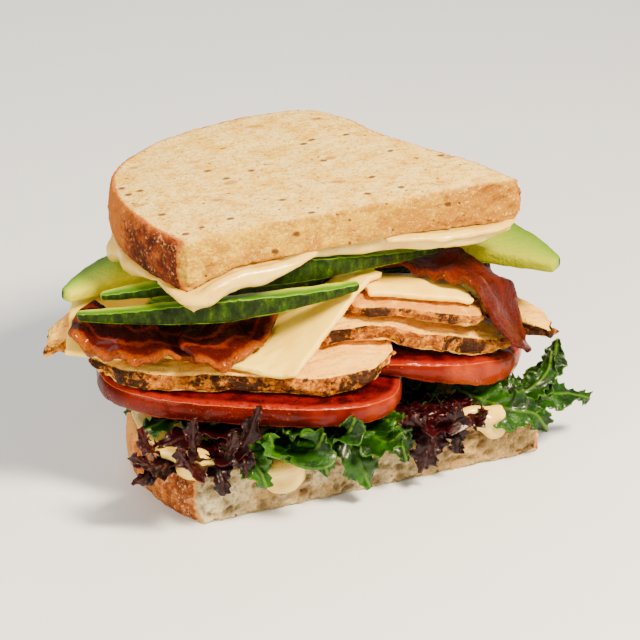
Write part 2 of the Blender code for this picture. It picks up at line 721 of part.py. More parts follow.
def build_chicken(pile):
    """Slices of grilled breast, each a blunt strip laid over the last.

    Each is a name, its middle line, half its width, how that tapers, its steepness, how much thicker it is
    than usual, and how much thinner its two ends are."""
    slices = (
        ("chicken_low", [(-18, 31), (9, 18.5), (38, 7), (69, 2)], 12, 0, 0.22, 0.5, 0.12, 0.32),
        ("chicken_back", [(-32, 35), (-8, 45), (22, 52), (50, 52)], 6, -0.75, 0.08, 4.0, 0.45, 0.3),
        ("chicken_mid", [(43, 13), (64, 10), (86, 6), (108, 4)], 9.5, 0, 0.3, 0.5, 0.12, 0.32),
        ("chicken_right", [(66, 56), (94, 43), (113, 22), (123, -3)], 7.5, 0.35, 0.05, 0.5, 0.2, 0.3),
        ("chicken_top", [(56, 13), (72, 8), (86, 4), (100, 0)], 9.5, 0, 0.18, -1.5, 0.12, 0.32),
    )
    for seed, (name, spine, half_width, taper, slope, extra, thin_start, thin_end) in enumerate(slices):
        patch = strip_patch(spine, blunt(half_width, taper, 0.07, 1.9 * seed), *CHICKEN_STEPS)
        thickness = CHICKEN_THICKNESS + extra
        depth = thickness * 0.9 + ripple(patch.points, 0.1 * thickness, 9, seed)
        depth[patch.border] -= 0.14 * thickness
        from_middle = 2 * places_of(CHICKEN_STEPS)[0] - 1
        depth *= 1 - np.where(from_middle > 0, thin_end, thin_start) * from_middle**4
        lay_piece(pile, name, patch, depth, CHICKEN, slope, bulge=1.1)


def build_cheese(pile):
    """Thin square slices that bend over the chicken's edges: name, corners and steepness."""
    sheets = (
        ("cheese_left", [(-31, 24), (-16, 16), (12, 50), (-12, 60)], 0.35),
        ("cheese_right", [(62, 4), (93, -5), (96, 24), (66, 40)], 0.5),
        ("cheese_front", [(-2, 16), (32, -8), (69, 9), (42, 44)], 0.55),
    )
    for name, corners, slope in sheets:
        patch = sheet_patch(corners, *CHEESE_STEPS)
        lay_piece(pile, name, patch, CHEESE_THICKNESS, CHEESE, slope, bulge=0.2, levels=THIN_SIDE, limp=8)


def build_bacon(pile):
    """Wavy rashers, of which the right one hangs down at the far end.

    Each is a name, its middle line, half its width, its steepness, its waves' height and phase, and how it
    tapers."""
    rashers = (
        ("bacon_left", [(-25, 31), (-17, 19), (-4, 14), (8, 17), (18, 30)], 7.5, 0.3, 0.9, 0.3, 0.0),
        ("bacon_middle", [(0, 8), (12, 8), (24, 12), (34, 26), (36, 44)], 7, 0.5, 0.5, 1.2, 0.0),
        ("bacon_right", [(68, 32), (84, 20), (96, 9), (103, -1), (106, -11)], 11, 1.4, 1.3, 2.0, 0.1),
    )
    waves_along = 2.7
    along, across = places_of(BACON_STEPS)
    for name, spine, half_width, slope, wave, phase, taper in rashers:
        patch = strip_patch(spine, blunt(half_width, taper, 0.1, phase), *BACON_STEPS)
        lift = wave * (1 + np.sin(2 * math.pi * waves_along * along + across - 0.5 + phase))
        lay_piece(pile, name, patch, BACON_THICKNESS, BACON, slope, bulge=0.3, levels=THIN_SIDE, wave=lift)


def build_avocado(pile):
    """Crescent slices, thinner towards their tips.

    Each is a name, its two tips, how far its outer and inner sides bow out from the line between them, its
    steepness, its inner side's share of the usual thickness, how much more of it the outer side has halfway
    along, and how it rises to the right."""
    slices = (
        ("avocado_front", (-26, 25), (57, 3), 14, 6, 0.04, 0.78, 0.5, 0),
        ("avocado_middle", (-19, 23), (91, 16), 14, 2, 0.05, 0.6, 0.7, 0),
        ("avocado_right", (123, -4), (80, 60), 18, -4, 0.06, 1.0, 0, 0.18),
        ("avocado_left", (50, 62), (-26, 35), 15, -3, 0.04, 0.9, 0, -0.14),
    )
    along, across = places_of(AVOCADO_STEPS)
    arc = np.sin(math.pi * (0.04 + 0.92 * along))
    plump = 0.5 + 0.5 * arc**0.6
    for name, start, end, outer, inner, slope, share, wedge, rise in slices:
        patch = crescent_patch(start, end, outer, inner, *AVOCADO_STEPS)
        thickness = AVOCADO_THICKNESS * plump * (share + wedge * arc**1.5 * (1 - across))
        lay_piece(pile, name, patch, thickness, AVOCADO, slope, 0.7, tilt=(rise, 0))


# ---------------------------------------------------------------- the top of the sandwich


def ramp(low, high, value):
    """0 up to low, 1 from high on, with a straight rise between them."""
    return np.clip((value - low) / (high - low), 0, 1)


def top_arch(plan):
    """How far the top slice's underside is pressed in, at points in plan."""
    x, y = plan[:, 0], plan[:, 1]
    far_share, far_start, far_end = ARCH_FAR_END
    along_cut = ramp(*ARCH_START, x) - (1 - far_share) * ramp(far_start, far_end, x)
    return ARCH_RISE * along_cut * (1 - ramp(*ARCH_REACH, y))


def build_top_sauce_and_bread(pile):
    """The top slice lies level on the fillings, and the sauce fills the space under it."""
    outline, _ = slice_outline((0, 0), 1, BREAD_STEPS)
    under_bread = pile.covers(outline)
    plan = np.column_stack([pile.xs[np.nonzero(under_bread)[0]], pile.ys[np.nonzero(under_bread)[1]]])
    rest = (pile.top[under_bread] - top_arch(plan)).max() + TOP_CLEARANCE

    def resting(plan):
        """The slice sags a little at its near corner."""
        near_corner = np.exp(-((plan[:, 0] + 2) ** 2 + (plan[:, 1] - 1) ** 2) / (2 * 9.0**2))
        return rest - 1.2 * near_corner

    brim, is_crust = slice_outline((0, 0), 1, TOP_SAUCE_STEPS)
    swell = sum(out * np.exp(-(((brim[:, 0] - middle) / half) ** 4)) for middle, half, out in TOP_DRIPS)
    brim = brim - 1.2 * outward(brim)
    recess = TOP_SAUCE_RECESS * (1 - np.clip(swell / 3, 0, 1))
    brim[:, 1] += np.where(is_crust & (brim[:, 1] > 4), 0, recess - swell)
    patch = star_patch(brim, SLICE_MIDDLE, ARCHED_RINGS)
    surface = pile.widest(pile.widest(pile.top)) + REST_GAP
    high = resting(patch.points) + top_arch(patch.points) - 1.5 * REST_GAP
    low = np.maximum(pile.read(surface, patch.points)[0], high - TOP_SAUCE_DEPTH)
    low = np.minimum(pile.lift_clear(patch.points, low, patch.triangles), high - 0.5)
    sides = closed_slab(patch, level(patch.points, low), level(patch.points, high), 0.5, THIN_SIDE)
    mesh_object("mayo_top", *sides, SAUCE)
    bread_slice("bread_top", (0, 0), 1, resting, top_arch, ARCHED_RINGS, seed=2.0)


def centre_on_board():
    """Moves the origin to the middle of the sandwich, on the board."""
    meshes = [made.data for made in bpy.context.scene.objects]
    corners = np.array([vertex.co for mesh in meshes for vertex in mesh.vertices])
    low, high = corners.min(axis=0), corners.max(axis=0)
    shift = Matrix.Translation((-(low[0] + high[0]) / 2, -(low[1] + high[1]) / 2, -low[2]))
    for mesh in meshes:
        mesh.transform(shift)


def main():
    for old in list(bpy.data.objects):
        bpy.data.objects.remove(old)
    pile = Pile((-60, -45), (165, 115))
    build_bread_bottom(pile)
    build_bottom_sauce(pile)
    build_lettuce(pile)
    build_tomatoes(pile)
    build_chicken(pile)
    build_cheese(pile)
    build_bacon(pile)
    build_avocado(pile)
    build_top_sauce_and_bread(pile)
    centre_on_board()


main()
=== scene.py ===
"""The looks of a chicken, avocado, bacon, lettuce and tomato sandwich half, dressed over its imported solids.

Each solid is copied at a fine pitch and given its real surface: pores and crust, meat fibre, bacon waves,
sauce drips. The lettuce is grown again as thin frilly leaves. Places are given in millimetres from the
near corner of the top slice's cut, on the board: x runs along the cut, y into the sandwich and z up.
place() turns them into the frame's metres.
"""

import math
from dataclasses import dataclass

import bmesh
import bpy
import numpy as np
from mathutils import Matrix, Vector


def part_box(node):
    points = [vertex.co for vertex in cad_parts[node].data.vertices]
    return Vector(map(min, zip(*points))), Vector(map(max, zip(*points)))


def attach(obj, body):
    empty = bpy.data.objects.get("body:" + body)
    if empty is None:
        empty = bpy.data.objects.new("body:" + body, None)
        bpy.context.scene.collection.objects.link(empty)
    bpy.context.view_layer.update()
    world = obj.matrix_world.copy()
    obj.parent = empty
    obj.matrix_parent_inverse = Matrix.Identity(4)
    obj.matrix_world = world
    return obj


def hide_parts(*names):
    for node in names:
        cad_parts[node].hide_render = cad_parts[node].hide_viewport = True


MM = 0.001
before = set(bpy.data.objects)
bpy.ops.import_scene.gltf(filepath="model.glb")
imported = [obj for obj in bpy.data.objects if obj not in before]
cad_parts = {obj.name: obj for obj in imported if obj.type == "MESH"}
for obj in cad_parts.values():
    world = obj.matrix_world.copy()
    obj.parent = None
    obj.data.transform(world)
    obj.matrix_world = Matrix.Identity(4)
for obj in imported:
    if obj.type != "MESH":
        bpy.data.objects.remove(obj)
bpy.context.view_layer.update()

CUT_LENGTH = 112.0
top_low, top_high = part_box("bread_top")
CORNER = np.array([top_high.x - CUT_LENGTH * MM, top_low.y, 0.0])
TOP_UNDERSIDE = top_low.z / MM


def place(points):
    """Points in millimetres from the cut's near corner, as points of the frame."""
    return np.array(points, float) * MM + CORNER


# ---------------------------------------------------------------- numbers

FIELD_SIZE = 32
NOISE_GAIN = 1.6
CURVE_STEPS = 20
SPINE_STEPS = 160
BLOCK_SIZE = 20000
CELL_PRIMES = np.array([73856093, 19349663, 83492791])
SEED_PRIME = 2654435
HASH_FACTOR, HASH_SHIFT, HASH_STEP = 1103515245, 12345, 7919
fields = {}


def smoothstep(low, high, x):
    """0 below low, 1 above high and a smooth rise between them."""
    t = np.clip((x - low) / (high - low), 0, 1)
    return t * t * (3 - 2 * t)


def hashed(cells, seed):
    """Four random numbers from 0 to 1 for each whole-numbered cell."""
    key = np.bitwise_xor.reduce(cells * CELL_PRIMES, axis=1) ^ (seed * SEED_PRIME)
    out = []
    for step in range(4):
        key = (key * HASH_FACTOR + HASH_SHIFT + step * HASH_STEP) & 0x7FFFFFFF
        out.append(((key >> 8) & 0xFFFF) / 65536.0)
    return np.stack(out, axis=1)


def noise(points, size, seed, octaves=1):
    """Smooth noise from -1 to 1 over points. size is that of its largest bumps, in millimetres, and may be
    three sizes, one along each axis."""
    total, weight, sum_of_weights = 0.0, 1.0, 0.0
    for octave in range(octaves):
        if seed + octave not in fields:
            fields[seed + octave] = np.random.default_rng(seed + octave).uniform(-1, 1, (FIELD_SIZE,) * 3)
        field = fields[seed + octave]
        p = points / (np.array(size) * MM) * 2**octave + 5.37 * seed + 100
        cell = np.floor(p).astype(int)
        f = p - cell
        f = f * f * (3 - 2 * f)
        value = 0.0
        for corner in np.ndindex(2, 2, 2):
            share = np.prod(np.where(np.array(corner), f, 1 - f), axis=1)
            i, j, k = ((cell + corner) % FIELD_SIZE).T
            value = value + share * field[i, j, k]
        total = total + weight * value
        sum_of_weights += weight
        weight *= 0.5
    return NOISE_GAIN * total / sum_of_weights


def pores(points, size, seed, share=0.7, stretch=(1, 1, 1)):
    """How deep each point lies in a round pore: 1 in a pore's middle, 0 outside. share is that of the cells
    that hold a pore."""
    p = points / (size * MM) / np.array(stretch) + 200
    cell = np.floor(p).astype(int)
    deep = np.zeros(len(p))
    for offset in np.ndindex(3, 3, 3):
        near = cell + np.array(offset) - 1
        random = hashed(near, seed)
        radius = np.where(random[:, 3] < share, 0.25 + 0.45 * random[:, 3] / share, 1e-6)
        away = np.linalg.norm(p - near - random[:, :3], axis=1) / radius
        deep = np.maximum(deep, np.clip(1 - away**2, 0, 1))
    return deep


def smooth_curve(points, count):
    """Evenly spaced points on a Catmull-Rom curve through the given ones."""
    p = np.array(points, float)
    p = np.vstack([2 * p[0] - p[1], p, 2 * p[-1] - p[-2]])
    dense = []
    for before, start, end, after in zip(p, p[1:], p[2:], p[3:]):
        for t in np.linspace(0, 1, CURVE_STEPS, endpoint=False):
            bend = 2 * before - 5 * start + 4 * end - after
            twist = 3 * start - before - 3 * end + after
            dense.append(start + 0.5 * t * (end - before + t * (bend + t * twist)))
    dense = np.array(dense + [p[-2]])
    length = np.concatenate([[0], np.cumsum(np.linalg.norm(np.diff(dense, axis=0), axis=1))])
    wanted = np.linspace(0, length[-1], count)
    return np.stack([np.interp(wanted, length, column) for column in dense.T], axis=1)


def along_and_across(points, spine):
    """How far along a line in plan each point is, from 0 to 1, and how far to its left, in millimetres."""
    line = smooth_curve(place([(x, y, 0) for x, y in spine])[:, :2], SPINE_STEPS)
    ahead = np.gradient(line, axis=0)
    ahead /= np.linalg.norm(ahead, axis=1)[:, None]
    nearest = np.zeros(len(points), int)
    for start in range(0, len(points), BLOCK_SIZE):
        block = points[start : start + BLOCK_SIZE, None, :2] - line[None]
        nearest[start : start + BLOCK_SIZE] = np.argmin((block**2).sum(axis=2), axis=1)
    off = points[:, :2] - line[nearest]
    left = ahead[nearest, 0] * off[:, 1] - ahead[nearest, 1] * off[:, 0]
    return nearest / (len(line) - 1), left / MM


# ---------------------------------------------------------------- meshes


def link(name, mesh):
    made = bpy.data.objects.new(name, mesh)
    bpy.context.scene.collection.objects.link(made)
    return made


def ball(shape, middle, radii):
    """Adds a stretched ball to a bmesh, its middle and radii in millimetres from the cut's corner."""
    made = bmesh.ops.create_icosphere(shape, subdivisions=2, radius=1)
    middle = Vector(place(middle))
    for vertex in made["verts"]:
        vertex.co = middle + Vector([a * r * MM for a, r in zip(vertex.co, radii)])


def fine_copy(name, node, pitch, smoothing, balls=()):
    """A new piece with the solid's form and the balls fused to it, in faces of the given pitch in
    millimetres, smoothed over that many rounds."""
    shape = bmesh.new()
    shape.from_mesh(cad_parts[node].data)
    bmesh.ops.remove_doubles(shape, verts=shape.verts, dist=1e-6)
    for one in balls:
        ball(shape, *one)
    mesh = bpy.data.meshes.new(name)
    shape.to_mesh(mesh)
    shape.free()
    coarse = link("coarse", mesh)
    step = coarse.modifiers.new("voxels", "REMESH")
    step.mode = "VOXEL"
    step.voxel_size = pitch * MM
    soften = coarse.modifiers.new("soften", "SMOOTH")
    soften.factor = 0.5
    soften.iterations = smoothing
    bpy.context.view_layer.update()
    graph = bpy.context.evaluated_depsgraph_get()
    fine = bpy.data.meshes.new_from_object(coarse.evaluated_get(graph))
    bpy.data.objects.remove(coarse)
    fine.materials.clear()
    fine.shade_smooth()
    piece = link(name, fine)
    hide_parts(node)
    return piece


def points_of(piece):
    flat = np.zeros(len(piece.data.vertices) * 3)
    piece.data.vertices.foreach_get("co", flat)
    return flat.reshape(-1, 3)


def normals_of(piece):
    flat = np.zeros(len(piece.data.vertices) * 3)
    piece.data.vertices.foreach_get("normal", flat)
    return flat.reshape(-1, 3)


def move(piece, points):
    piece.data.vertices.foreach_set("co", points.ravel())
    piece.data.update()


def pushed(points, normals, distance):
    """Points moved out along their normals, by a distance in millimetres for each."""
    return points + normals * distance[:, None] * MM


def spread(piece, values, rounds):
    """Values at the vertices, blurred along the surface."""
    edges = np.zeros(len(piece.data.edges) * 2, int)
    piece.data.edges.foreach_get("vertices", edges)
    a, b = edges.reshape(-1, 2).T
    count = len(values)
    joined = np.maximum(np.bincount(a, minlength=count) + np.bincount(b, minlength=count), 1)
    for _ in range(rounds):
        around = np.bincount(a, values[b], count) + np.bincount(b, values[a], count)
        values = 0.5 * values + 0.5 * around / joined
    return values


def finish_piece(piece, slot, look, **masks):
    """Gives a piece its material, and the numbers at its vertices that the material reads by name."""
    for name, values in masks.items():
        mask = piece.data.attributes.new(name, "FLOAT", "POINT")
        mask.data.foreach_set("value", np.asarray(values, np.float32))
    piece.data.materials.append(look)
    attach(piece, "root")


# ---------------------------------------------------------------- materials

# How far x and y slide for each millimetre of z, where points are flattened for dots.
DOTS_SLANT = (0.37, 0.9)


def colour(red, green, blue):
    """A colour given from 0 to 255 as it shows on a screen, in Blender's linear values."""
    shares = (red / 255, green / 255, blue / 255)
    return tuple(s / 12.92 if s < 11 / 255 else ((s + 0.055) / 1.055) ** 2.4 for s in shares)


class Look:
    """A Principled material, built a node at a time. Sizes are in millimetres."""

    def __init__(self, name, **inputs):
        self.material = bpy.data.materials.new(name)
        self.material.use_nodes = True
        self.tree = self.material.node_tree
        self.shader = self.tree.nodes["Principled BSDF"]
        for key, value in inputs.items():
            self.shader.inputs[key.replace("_", " ")].default_value = value
        self.place = self.tree.nodes.new("ShaderNodeTexCoord").outputs["Object"]

    def feed(self, socket, value):
        """Links a socket to a node's output, or sets it to a number, a vector or a colour."""
        if isinstance(value, bpy.types.NodeSocket):
            self.tree.links.new(value, socket)
        elif isinstance(value, tuple) and socket.type == "RGBA":
            socket.default_value = (*value, 1)
        else:
            socket.default_value = value

    def add(self, kind, inputs, **settings):
        node = self.tree.nodes.new(kind)
        for key, value in settings.items():
            setattr(node, key, value)
        for key, value in inputs.items():
            self.feed(node.inputs[key], value)
        return node

    def mask(self, name):
        return self.add("ShaderNodeAttribute", {}, attribute_name=name).outputs["Fac"]

    def noise(self, size, detail=3.0, stretch=(1, 1, 1), shift=0.0, rough=0.55):
        mapping = {"Vector": self.place, "Scale": tuple(1 / s for s in stretch), "Location": (shift,) * 3}
        vector = self.add("ShaderNodeMapping", mapping).outputs["Vector"]
        inputs = {"Vector": vector, "Scale": 1 / (size * MM), "Detail": detail, "Roughness": rough}
        return self.add("ShaderNodeTexNoise", inputs).outputs["Fac"]

    def patches(self, low, high, *size_and_detail, **settings):
        """1 where noise lies above high, 0 where it lies below low."""
        return self.step(self.noise(*size_and_detail, **settings), low, high)

    def dots(self, size, radius, stretch=1.0, shift=0.0):
        """Round spots of a radius in millimetres, one for each cell of the given size. They lie on any face
        that isn't square to the slanted line along which the points are flattened."""
        parted = self.add("ShaderNodeSeparateXYZ", {"Vector": self.place})
        x, y, z = (parted.outputs[axis] for axis in "XYZ")
        sideways = self.math("DIVIDE", self.plus(x, self.times(z, DOTS_SLANT[0])), stretch)
        flat = {"X": self.plus(sideways, shift), "Y": self.plus(y, self.times(z, DOTS_SLANT[1]))}
        vector = self.add("ShaderNodeCombineXYZ", flat).outputs["Vector"]
        inputs = {"Vector": vector, "Scale": 1 / (size * MM)}
        away = self.add("ShaderNodeTexVoronoi", inputs, voronoi_dimensions="2D").outputs["Distance"]
        return self.step(away, radius / size, 0.45 * radius / size)

    def math(self, operation, a, b):
        return self.add("ShaderNodeMath", {0: a, 1: b}, operation=operation).outputs[0]

    def plus(self, a, b):
        return self.math("ADD", a, b)

    def times(self, a, b):
        return self.math("MULTIPLY", a, b)

    def swing(self, value, width):
        """A value from 0 to 1, turned into one that swings that wide about 0."""
        return self.times(self.math("SUBTRACT", value, 0.5), width)

    def step(self, value, low, high):
        """0 where value is below low, 1 above high."""
        inputs = {"Value": value, "From Min": low, "From Max": high}
        return self.add("ShaderNodeMapRange", inputs, interpolation_type="SMOOTHSTEP").outputs["Result"]

    def ramp(self, value, *stops):
        node = self.add("ShaderNodeValToRGB", {"Fac": value})
        elements = node.color_ramp.elements
        while len(elements) < len(stops):
            elements.new(0.5)
        for element, (position, shade) in zip(elements, stops):
            element.position = position
            element.color = (*shade, 1)
        return node.outputs["Color"]

    def mix(self, share, a, b):
        """Colour a where share is 0 and b where it is 1."""
        node = self.add("ShaderNodeMix", {}, data_type="RGBA")
        factor, first, second = (node.inputs[i] for i in (0, 6, 7))
        self.feed(factor, share)
        self.feed(first, a)
        self.feed(second, b)
        return node.outputs[2]

    def stain(self, base, shade, where, strength):
        """base with a colour laid over it, as strong as given, where a mask says."""
        return self.mix(self.times(where, strength), base, shade)

    def finish(self, base, height=None, depth=0.0):
        """The material, coloured by base. A height from 0 to 1 gives it relief of the given depth."""
        self.feed(self.shader.inputs["Base Color"], base)
        if height is not None:
            inputs = {"Height": height, "Distance": depth * MM, "Strength": 1.0}
            self.feed(self.shader.inputs["Normal"], self.add("ShaderNodeBump", inputs).outputs["Normal"])
        return self.material


# ---------------------------------------------------------------- bread

# For each slice, pale and deep colours of its crumb on the flat faces and of the toast at its cut, the
# crust's colours from dark to pale, the painted shade in its pores, and the colours of specks and flour.
TOP_BREAD = {
    "crumb": (colour(238, 206, 118), colour(224, 176, 56)),
    "toast": (colour(212, 168, 14), colour(166, 112, 0)),
    "crust": (colour(50, 16, 5), colour(86, 30, 8), colour(134, 58, 12), colour(186, 102, 20)),
    "pore": colour(130, 68, 4),
    "speck": colour(78, 32, 6),
    "flour": colour(206, 146, 88),
}
BOTTOM_BREAD = {
    "crumb": (colour(222, 208, 166), colour(190, 164, 112)),
    "toast": (colour(220, 204, 160), colour(174, 142, 88)),
    "crust": (colour(98, 40, 14), colour(152, 76, 26), colour(200, 118, 44), colour(222, 154, 76)),
    "pore": colour(92, 64, 28),
    "speck": colour(96, 52, 20),
    "flour": colour(232, 190, 140),
}
# Where on the scale of shades, from 0 to 1, the crust's colours lie.
CRUST_LEVELS = (0.36, 0.5, 0.62, 0.8)
# How far behind a slice's near side its cut face reaches.
CUT_REACH = 3.5


def bread_specks(look):
    large = look.times(look.dots(12, 1.15, 1.5), look.patches(0.44, 0.5, 14, 2, shift=9))
    middling = look.times(look.dots(6.5, 0.55, 1.2, shift=4.3), look.patches(0.5, 0.56, 9, 2, shift=12))
    small = look.times(look.dots(3.6, 0.32, shift=0.3), 0.6)
    return look.math("MAXIMUM", look.math("MAXIMUM", large, middling), small)


def crust_shades(look, mottle, crust, flour):
    shade = look.plus(mottle, look.swing(look.noise(14, 2, shift=5), 0.4))
    shade = look.plus(shade, look.times(look.mask("sunny"), 0.4))
    bark = look.ramp(shade, *zip(CRUST_LEVELS, crust))
    dusted = look.times(look.patches(0.52, 0.66, 0.9, 3, shift=2), look.patches(0.42, 0.62, 4, 3, shift=8))
    return look.stain(bark, flour, dusted, 0.75)


def bread_look(name, crumb, toast, crust, pore, speck, flour):
    look = Look(name, Roughness=0.85, Subsurface_Weight=0.05, Subsurface_Scale=0.001, Specular_IOR_Level=0.2)
    weave = look.noise(2.4, 5, stretch=(1.8, 1, 1), rough=0.7)
    grain = look.noise(1.0, 3, rough=0.75)
    crumb_pale, crumb_deep = crumb
    toast_pale, toast_deep = toast
    mottled = look.plus(look.noise(8, 4, rough=0.6), look.swing(weave, 0.9))
    face = look.mix(look.step(mottled, 0.4, 0.66), crumb_pale, crumb_deep)
    # Painted shade: the cut face is coloured darker towards its far end, where shade falls.
    toasted = look.plus(look.noise(11, 4, shift=3.1), look.times(look.mask("deep"), 0.25))
    toasted = look.plus(toasted, look.swing(weave, 0.6))
    browned = look.mix(look.step(toasted, 0.36, 0.7), toast_pale, toast_deep)
    face = look.mix(look.mask("cut"), face, browned)
    face = look.stain(face, toast_deep, look.step(grain, 0.5, 0.66), 0.66)
    face = look.stain(face, crumb_pale, look.step(grain, 0.45, 0.33), 0.6)
    # Painted shade: the pores are coloured darker, where shade would fall in them.
    face = look.mix(look.mask("pore"), face, pore)
    flakes = look.times(look.dots(21, 2.0, 1.9, shift=0.7), look.step(weave, 0.36, 0.52))
    face = look.stain(face, toast_deep, flakes, 0.75)
    face = look.stain(face, speck, bread_specks(look), 0.9)
    mottle = look.noise(3.0, 6, rough=0.74)
    rim = look.plus(look.mask("rim"), look.swing(mottle, 0.35))
    face = look.mix(look.step(rim, 0.03, 0.3), face, crust[-1])
    base = look.mix(look.step(rim, 0.36, 0.58), face, crust_shades(look, mottle, crust, flour))
    return look.finish(base, look.plus(look.times(grain, 0.6), look.times(weave, 0.8)), 1.2)


def dress_bread(node, look, openness, rounding):
    """openness(x, z) says how large and deep the cut face's pores are, from 0 to 1."""
    piece = fine_copy(node + "_loaf", node, pitch=0.75, smoothing=rounding)
    points, normals = points_of(piece), normals_of(piece)
    low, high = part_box(node)
    x, y, z = ((points - CORNER) / MM).T
    cut = smoothstep(0.25, 0.6, -normals[:, 1]) * (points[:, 1] < low.y + CUT_REACH * MM)
    flat = smoothstep(0.6, 0.95, np.abs(normals[:, 2]))
    bark = np.clip(1 - cut - flat, 0, 1)
    opened = cut * openness(x, z)
    large = pores(points, 4.6, 11, 0.55, (1.5, 1, 0.9))
    holes = np.maximum(large, 0.8 * pores(points, 2.3, 12, 0.65, (1.3, 1, 1)))
    fine = pores(points, 1.25, 13, 0.8)
    dimples = pores(points, 1.9, 16, 0.3)
    depth = opened * (1.7 * holes + 0.7 * fine) + 0.22 * cut * noise(points, 1.6, 14, 2)
    depth += flat * (0.35 * pores(points, 5.5, 15, 0.25) + 0.4 * dimples)
    depth -= flat * (0.2 * noise(points, (3.4, 1.9, 1.9), 17, 2) + 0.25 * noise(points, 12, 20))
    depth += bark * (0.35 * noise(points, 3.5, 18, 3) + 0.3 * np.abs(noise(points, 1.4, 19)))
    moved = pushed(points, normals, -depth)
    moved[:, 2] = np.maximum(moved[:, 2], 0)
    move(piece, moved)
    lit = smoothstep(18, 48, y) + 0.7 * smoothstep(0.72, 1.0, (points[:, 2] - low.z) / (high.z - low.z))
    finish_piece(
        piece,
        "bread",
        look,
        cut=spread(piece, cut, 6),
        rim=spread(piece, bark, 7),
        # Painted shade in the cut face's open pores and in the dimples of the flat faces.
        pore=np.clip(opened * (0.8 * holes + 0.4 * fine) + flat * 0.3 * dimples, 0, 1),
        # Painted shade: darker towards the cut face's far end.
        deep=smoothstep(30, 112, x) * cut,
        sunny=np.clip(lit, 0, 1),
    )


def top_openness(x, z):
    """The top slice's cut is open at the far end, and low down at the near end."""
    near = 0.5 * smoothstep(30, 0, x) * smoothstep(TOP_UNDERSIDE + 13, TOP_UNDERSIDE + 3, z)
    return np.clip(0.22 + 0.6 * smoothstep(66, 108, x) + near, 0, 1)


def bottom_openness(x, z):
    """The bottom slice's cut is open all over."""
    return np.ones(len(x))


def dress_breads():
    top_look = bread_look("toasted_white_bread", **TOP_BREAD)
    bottom_look = bread_look("open_white_bread", **BOTTOM_BREAD)
    dress_bread("bread_top", top_look, top_openness, rounding=5)
    dress_bread("bread_bottom", bottom_look, bottom_openness, rounding=3)


# ---------------------------------------------------------------- sauce

# Edges of sauce, as points along them: x, y, and the lowest and highest z. The top slice's are measured
# from its underside, and the bottom slice's from the board.
TOP_DRIPS = (
    # Round the near corner and along the cut.
    [
        (-2.6, 15, -0.4, 0.6), (-2.6, 9, -0.8, 0.4), (-2.2, 3.6, -1.8, 0.4), (-0.4, -0.8, -3.2, 0),
        (3, -2.4, -3.4, 0.6), (6.3, -2.6, -3.8, 3), (11, -2.2, -0.8, 4.6), (16.5, -2, -0.3, 5.8),
        (22.6, -2.2, -0.7, 5.8), (27, -2, 0.8, 5.8), (31, -1.7, 2.0, 5.8), (35.8, -0.8, 3.4, 6.0),
        (41, 1.4, 4.4, 6.2),
    ],
    # At the far end of the cut.
    [
        (68, 1.4, 4.0, 6.0), (76, -0.9, 3.8, 6.0), (80, -1.8, 3.5, 5.8), (84, -2, 1.8, 5.6),
        (87, -2, 2.9, 5.4), (93, -2, 2.3, 5.0), (99, -2, 2.2, 4.8), (105, -1.2, 2.6, 4.6),
        (109, 1.2, 3.0, 4.4),
    ],
    # Two lobes over the avocado at the left.
    [
        (-4, 20, -0.4, 0.6), (-5, 26, -1.0, 0.6), (-7, 31, -4.6, 0.4), (-5, 35, -1.2, 0.4),
        (-5, 40, -2.6, 0.4), (-6.4, 45, -7.0, 0.4), (-3, 50, -2.0, 0.4), (1, 58, -0.6, 0.6),
    ],
)
BOTTOM_DRIPS = (
    # At the left, in the middle and at the right of the cut.
    [
        (-10, 0, 24.5, 28), (-7, -3, 23.5, 28.5), (-4, -5.2, 22.2, 28), (-0.5, -6, 21.8, 26.5),
        (3, -6.4, 21, 24.6), (6, -6, 19.5, 22),
    ],
    [
        (16, -5.8, 17.5, 20), (20, -6.6, 14.5, 20.4), (23.5, -7, 11, 20.6), (27, -7.2, 8.8, 20.6),
        (30, -7.1, 10.4, 20.2), (33, -6.8, 14, 20), (38, -5.8, 17.5, 19.6),
    ],
    [
        (89, -5.8, 18.6, 22), (93, -6.6, 16.2, 23), (96, -6.8, 13.2, 22.6), (99, -6.8, 12.2, 22),
        (102, -6.6, 14.8, 21.6), (106, -5.8, 17.8, 20.6),
    ],
)
# Half the thickness of the sauce at its edges, half its least height there, and the balls' spacing.
DRIP_RADIUS = 2.5
LEAST_HALF_HEIGHT = 0.5
DRIP_STEP = 1.3


def drip_balls(edge, base):
    """The middles and radii of overlapping balls along an edge of sauce."""
    edge = np.array(edge, float)
    length = np.linalg.norm(np.diff(edge[:, :2], axis=0), axis=1).sum()
    for x, y, low, high in smooth_curve(edge, int(length / DRIP_STEP)):
        half = (high - low) / 2
        yield (x, y, base + low + half), (DRIP_RADIUS, DRIP_RADIUS, max(half, LEAST_HALF_HEIGHT))


def sauce_look():
    look = Look(
        "mayonnaise",
        Roughness=0.32,
        Subsurface_Weight=0.1,
        Subsurface_Scale=0.002,
        Coat_Weight=0.3,
        Coat_Roughness=0.12,
    )
    base = look.mix(look.patches(0.35, 0.7, 7, 3), colour(234, 202, 92), colour(220, 176, 62))
    base = look.stain(base, colour(160, 100, 40), look.dots(6, 0.3, shift=0.2), 0.5)
    return look.finish(base, look.noise(3, 2), 0.25)


def dress_sauces():
    look = sauce_look()
    for node, drips, base in (("mayo_top", TOP_DRIPS, TOP_UNDERSIDE), ("mayo_bottom", BOTTOM_DRIPS, 0)):
        balls = [one for edge in drips for one in drip_balls(edge, base)]
        piece = fine_copy(node + "_spread", node, pitch=0.75, smoothing=6, balls=balls)
        points = points_of(piece)
        move(piece, pushed(points, normals_of(piece), 0.25 * noise(points, 6, 21, 2)))
        finish_piece(piece, "mayonnaise", look)


# ---------------------------------------------------------------- tomato


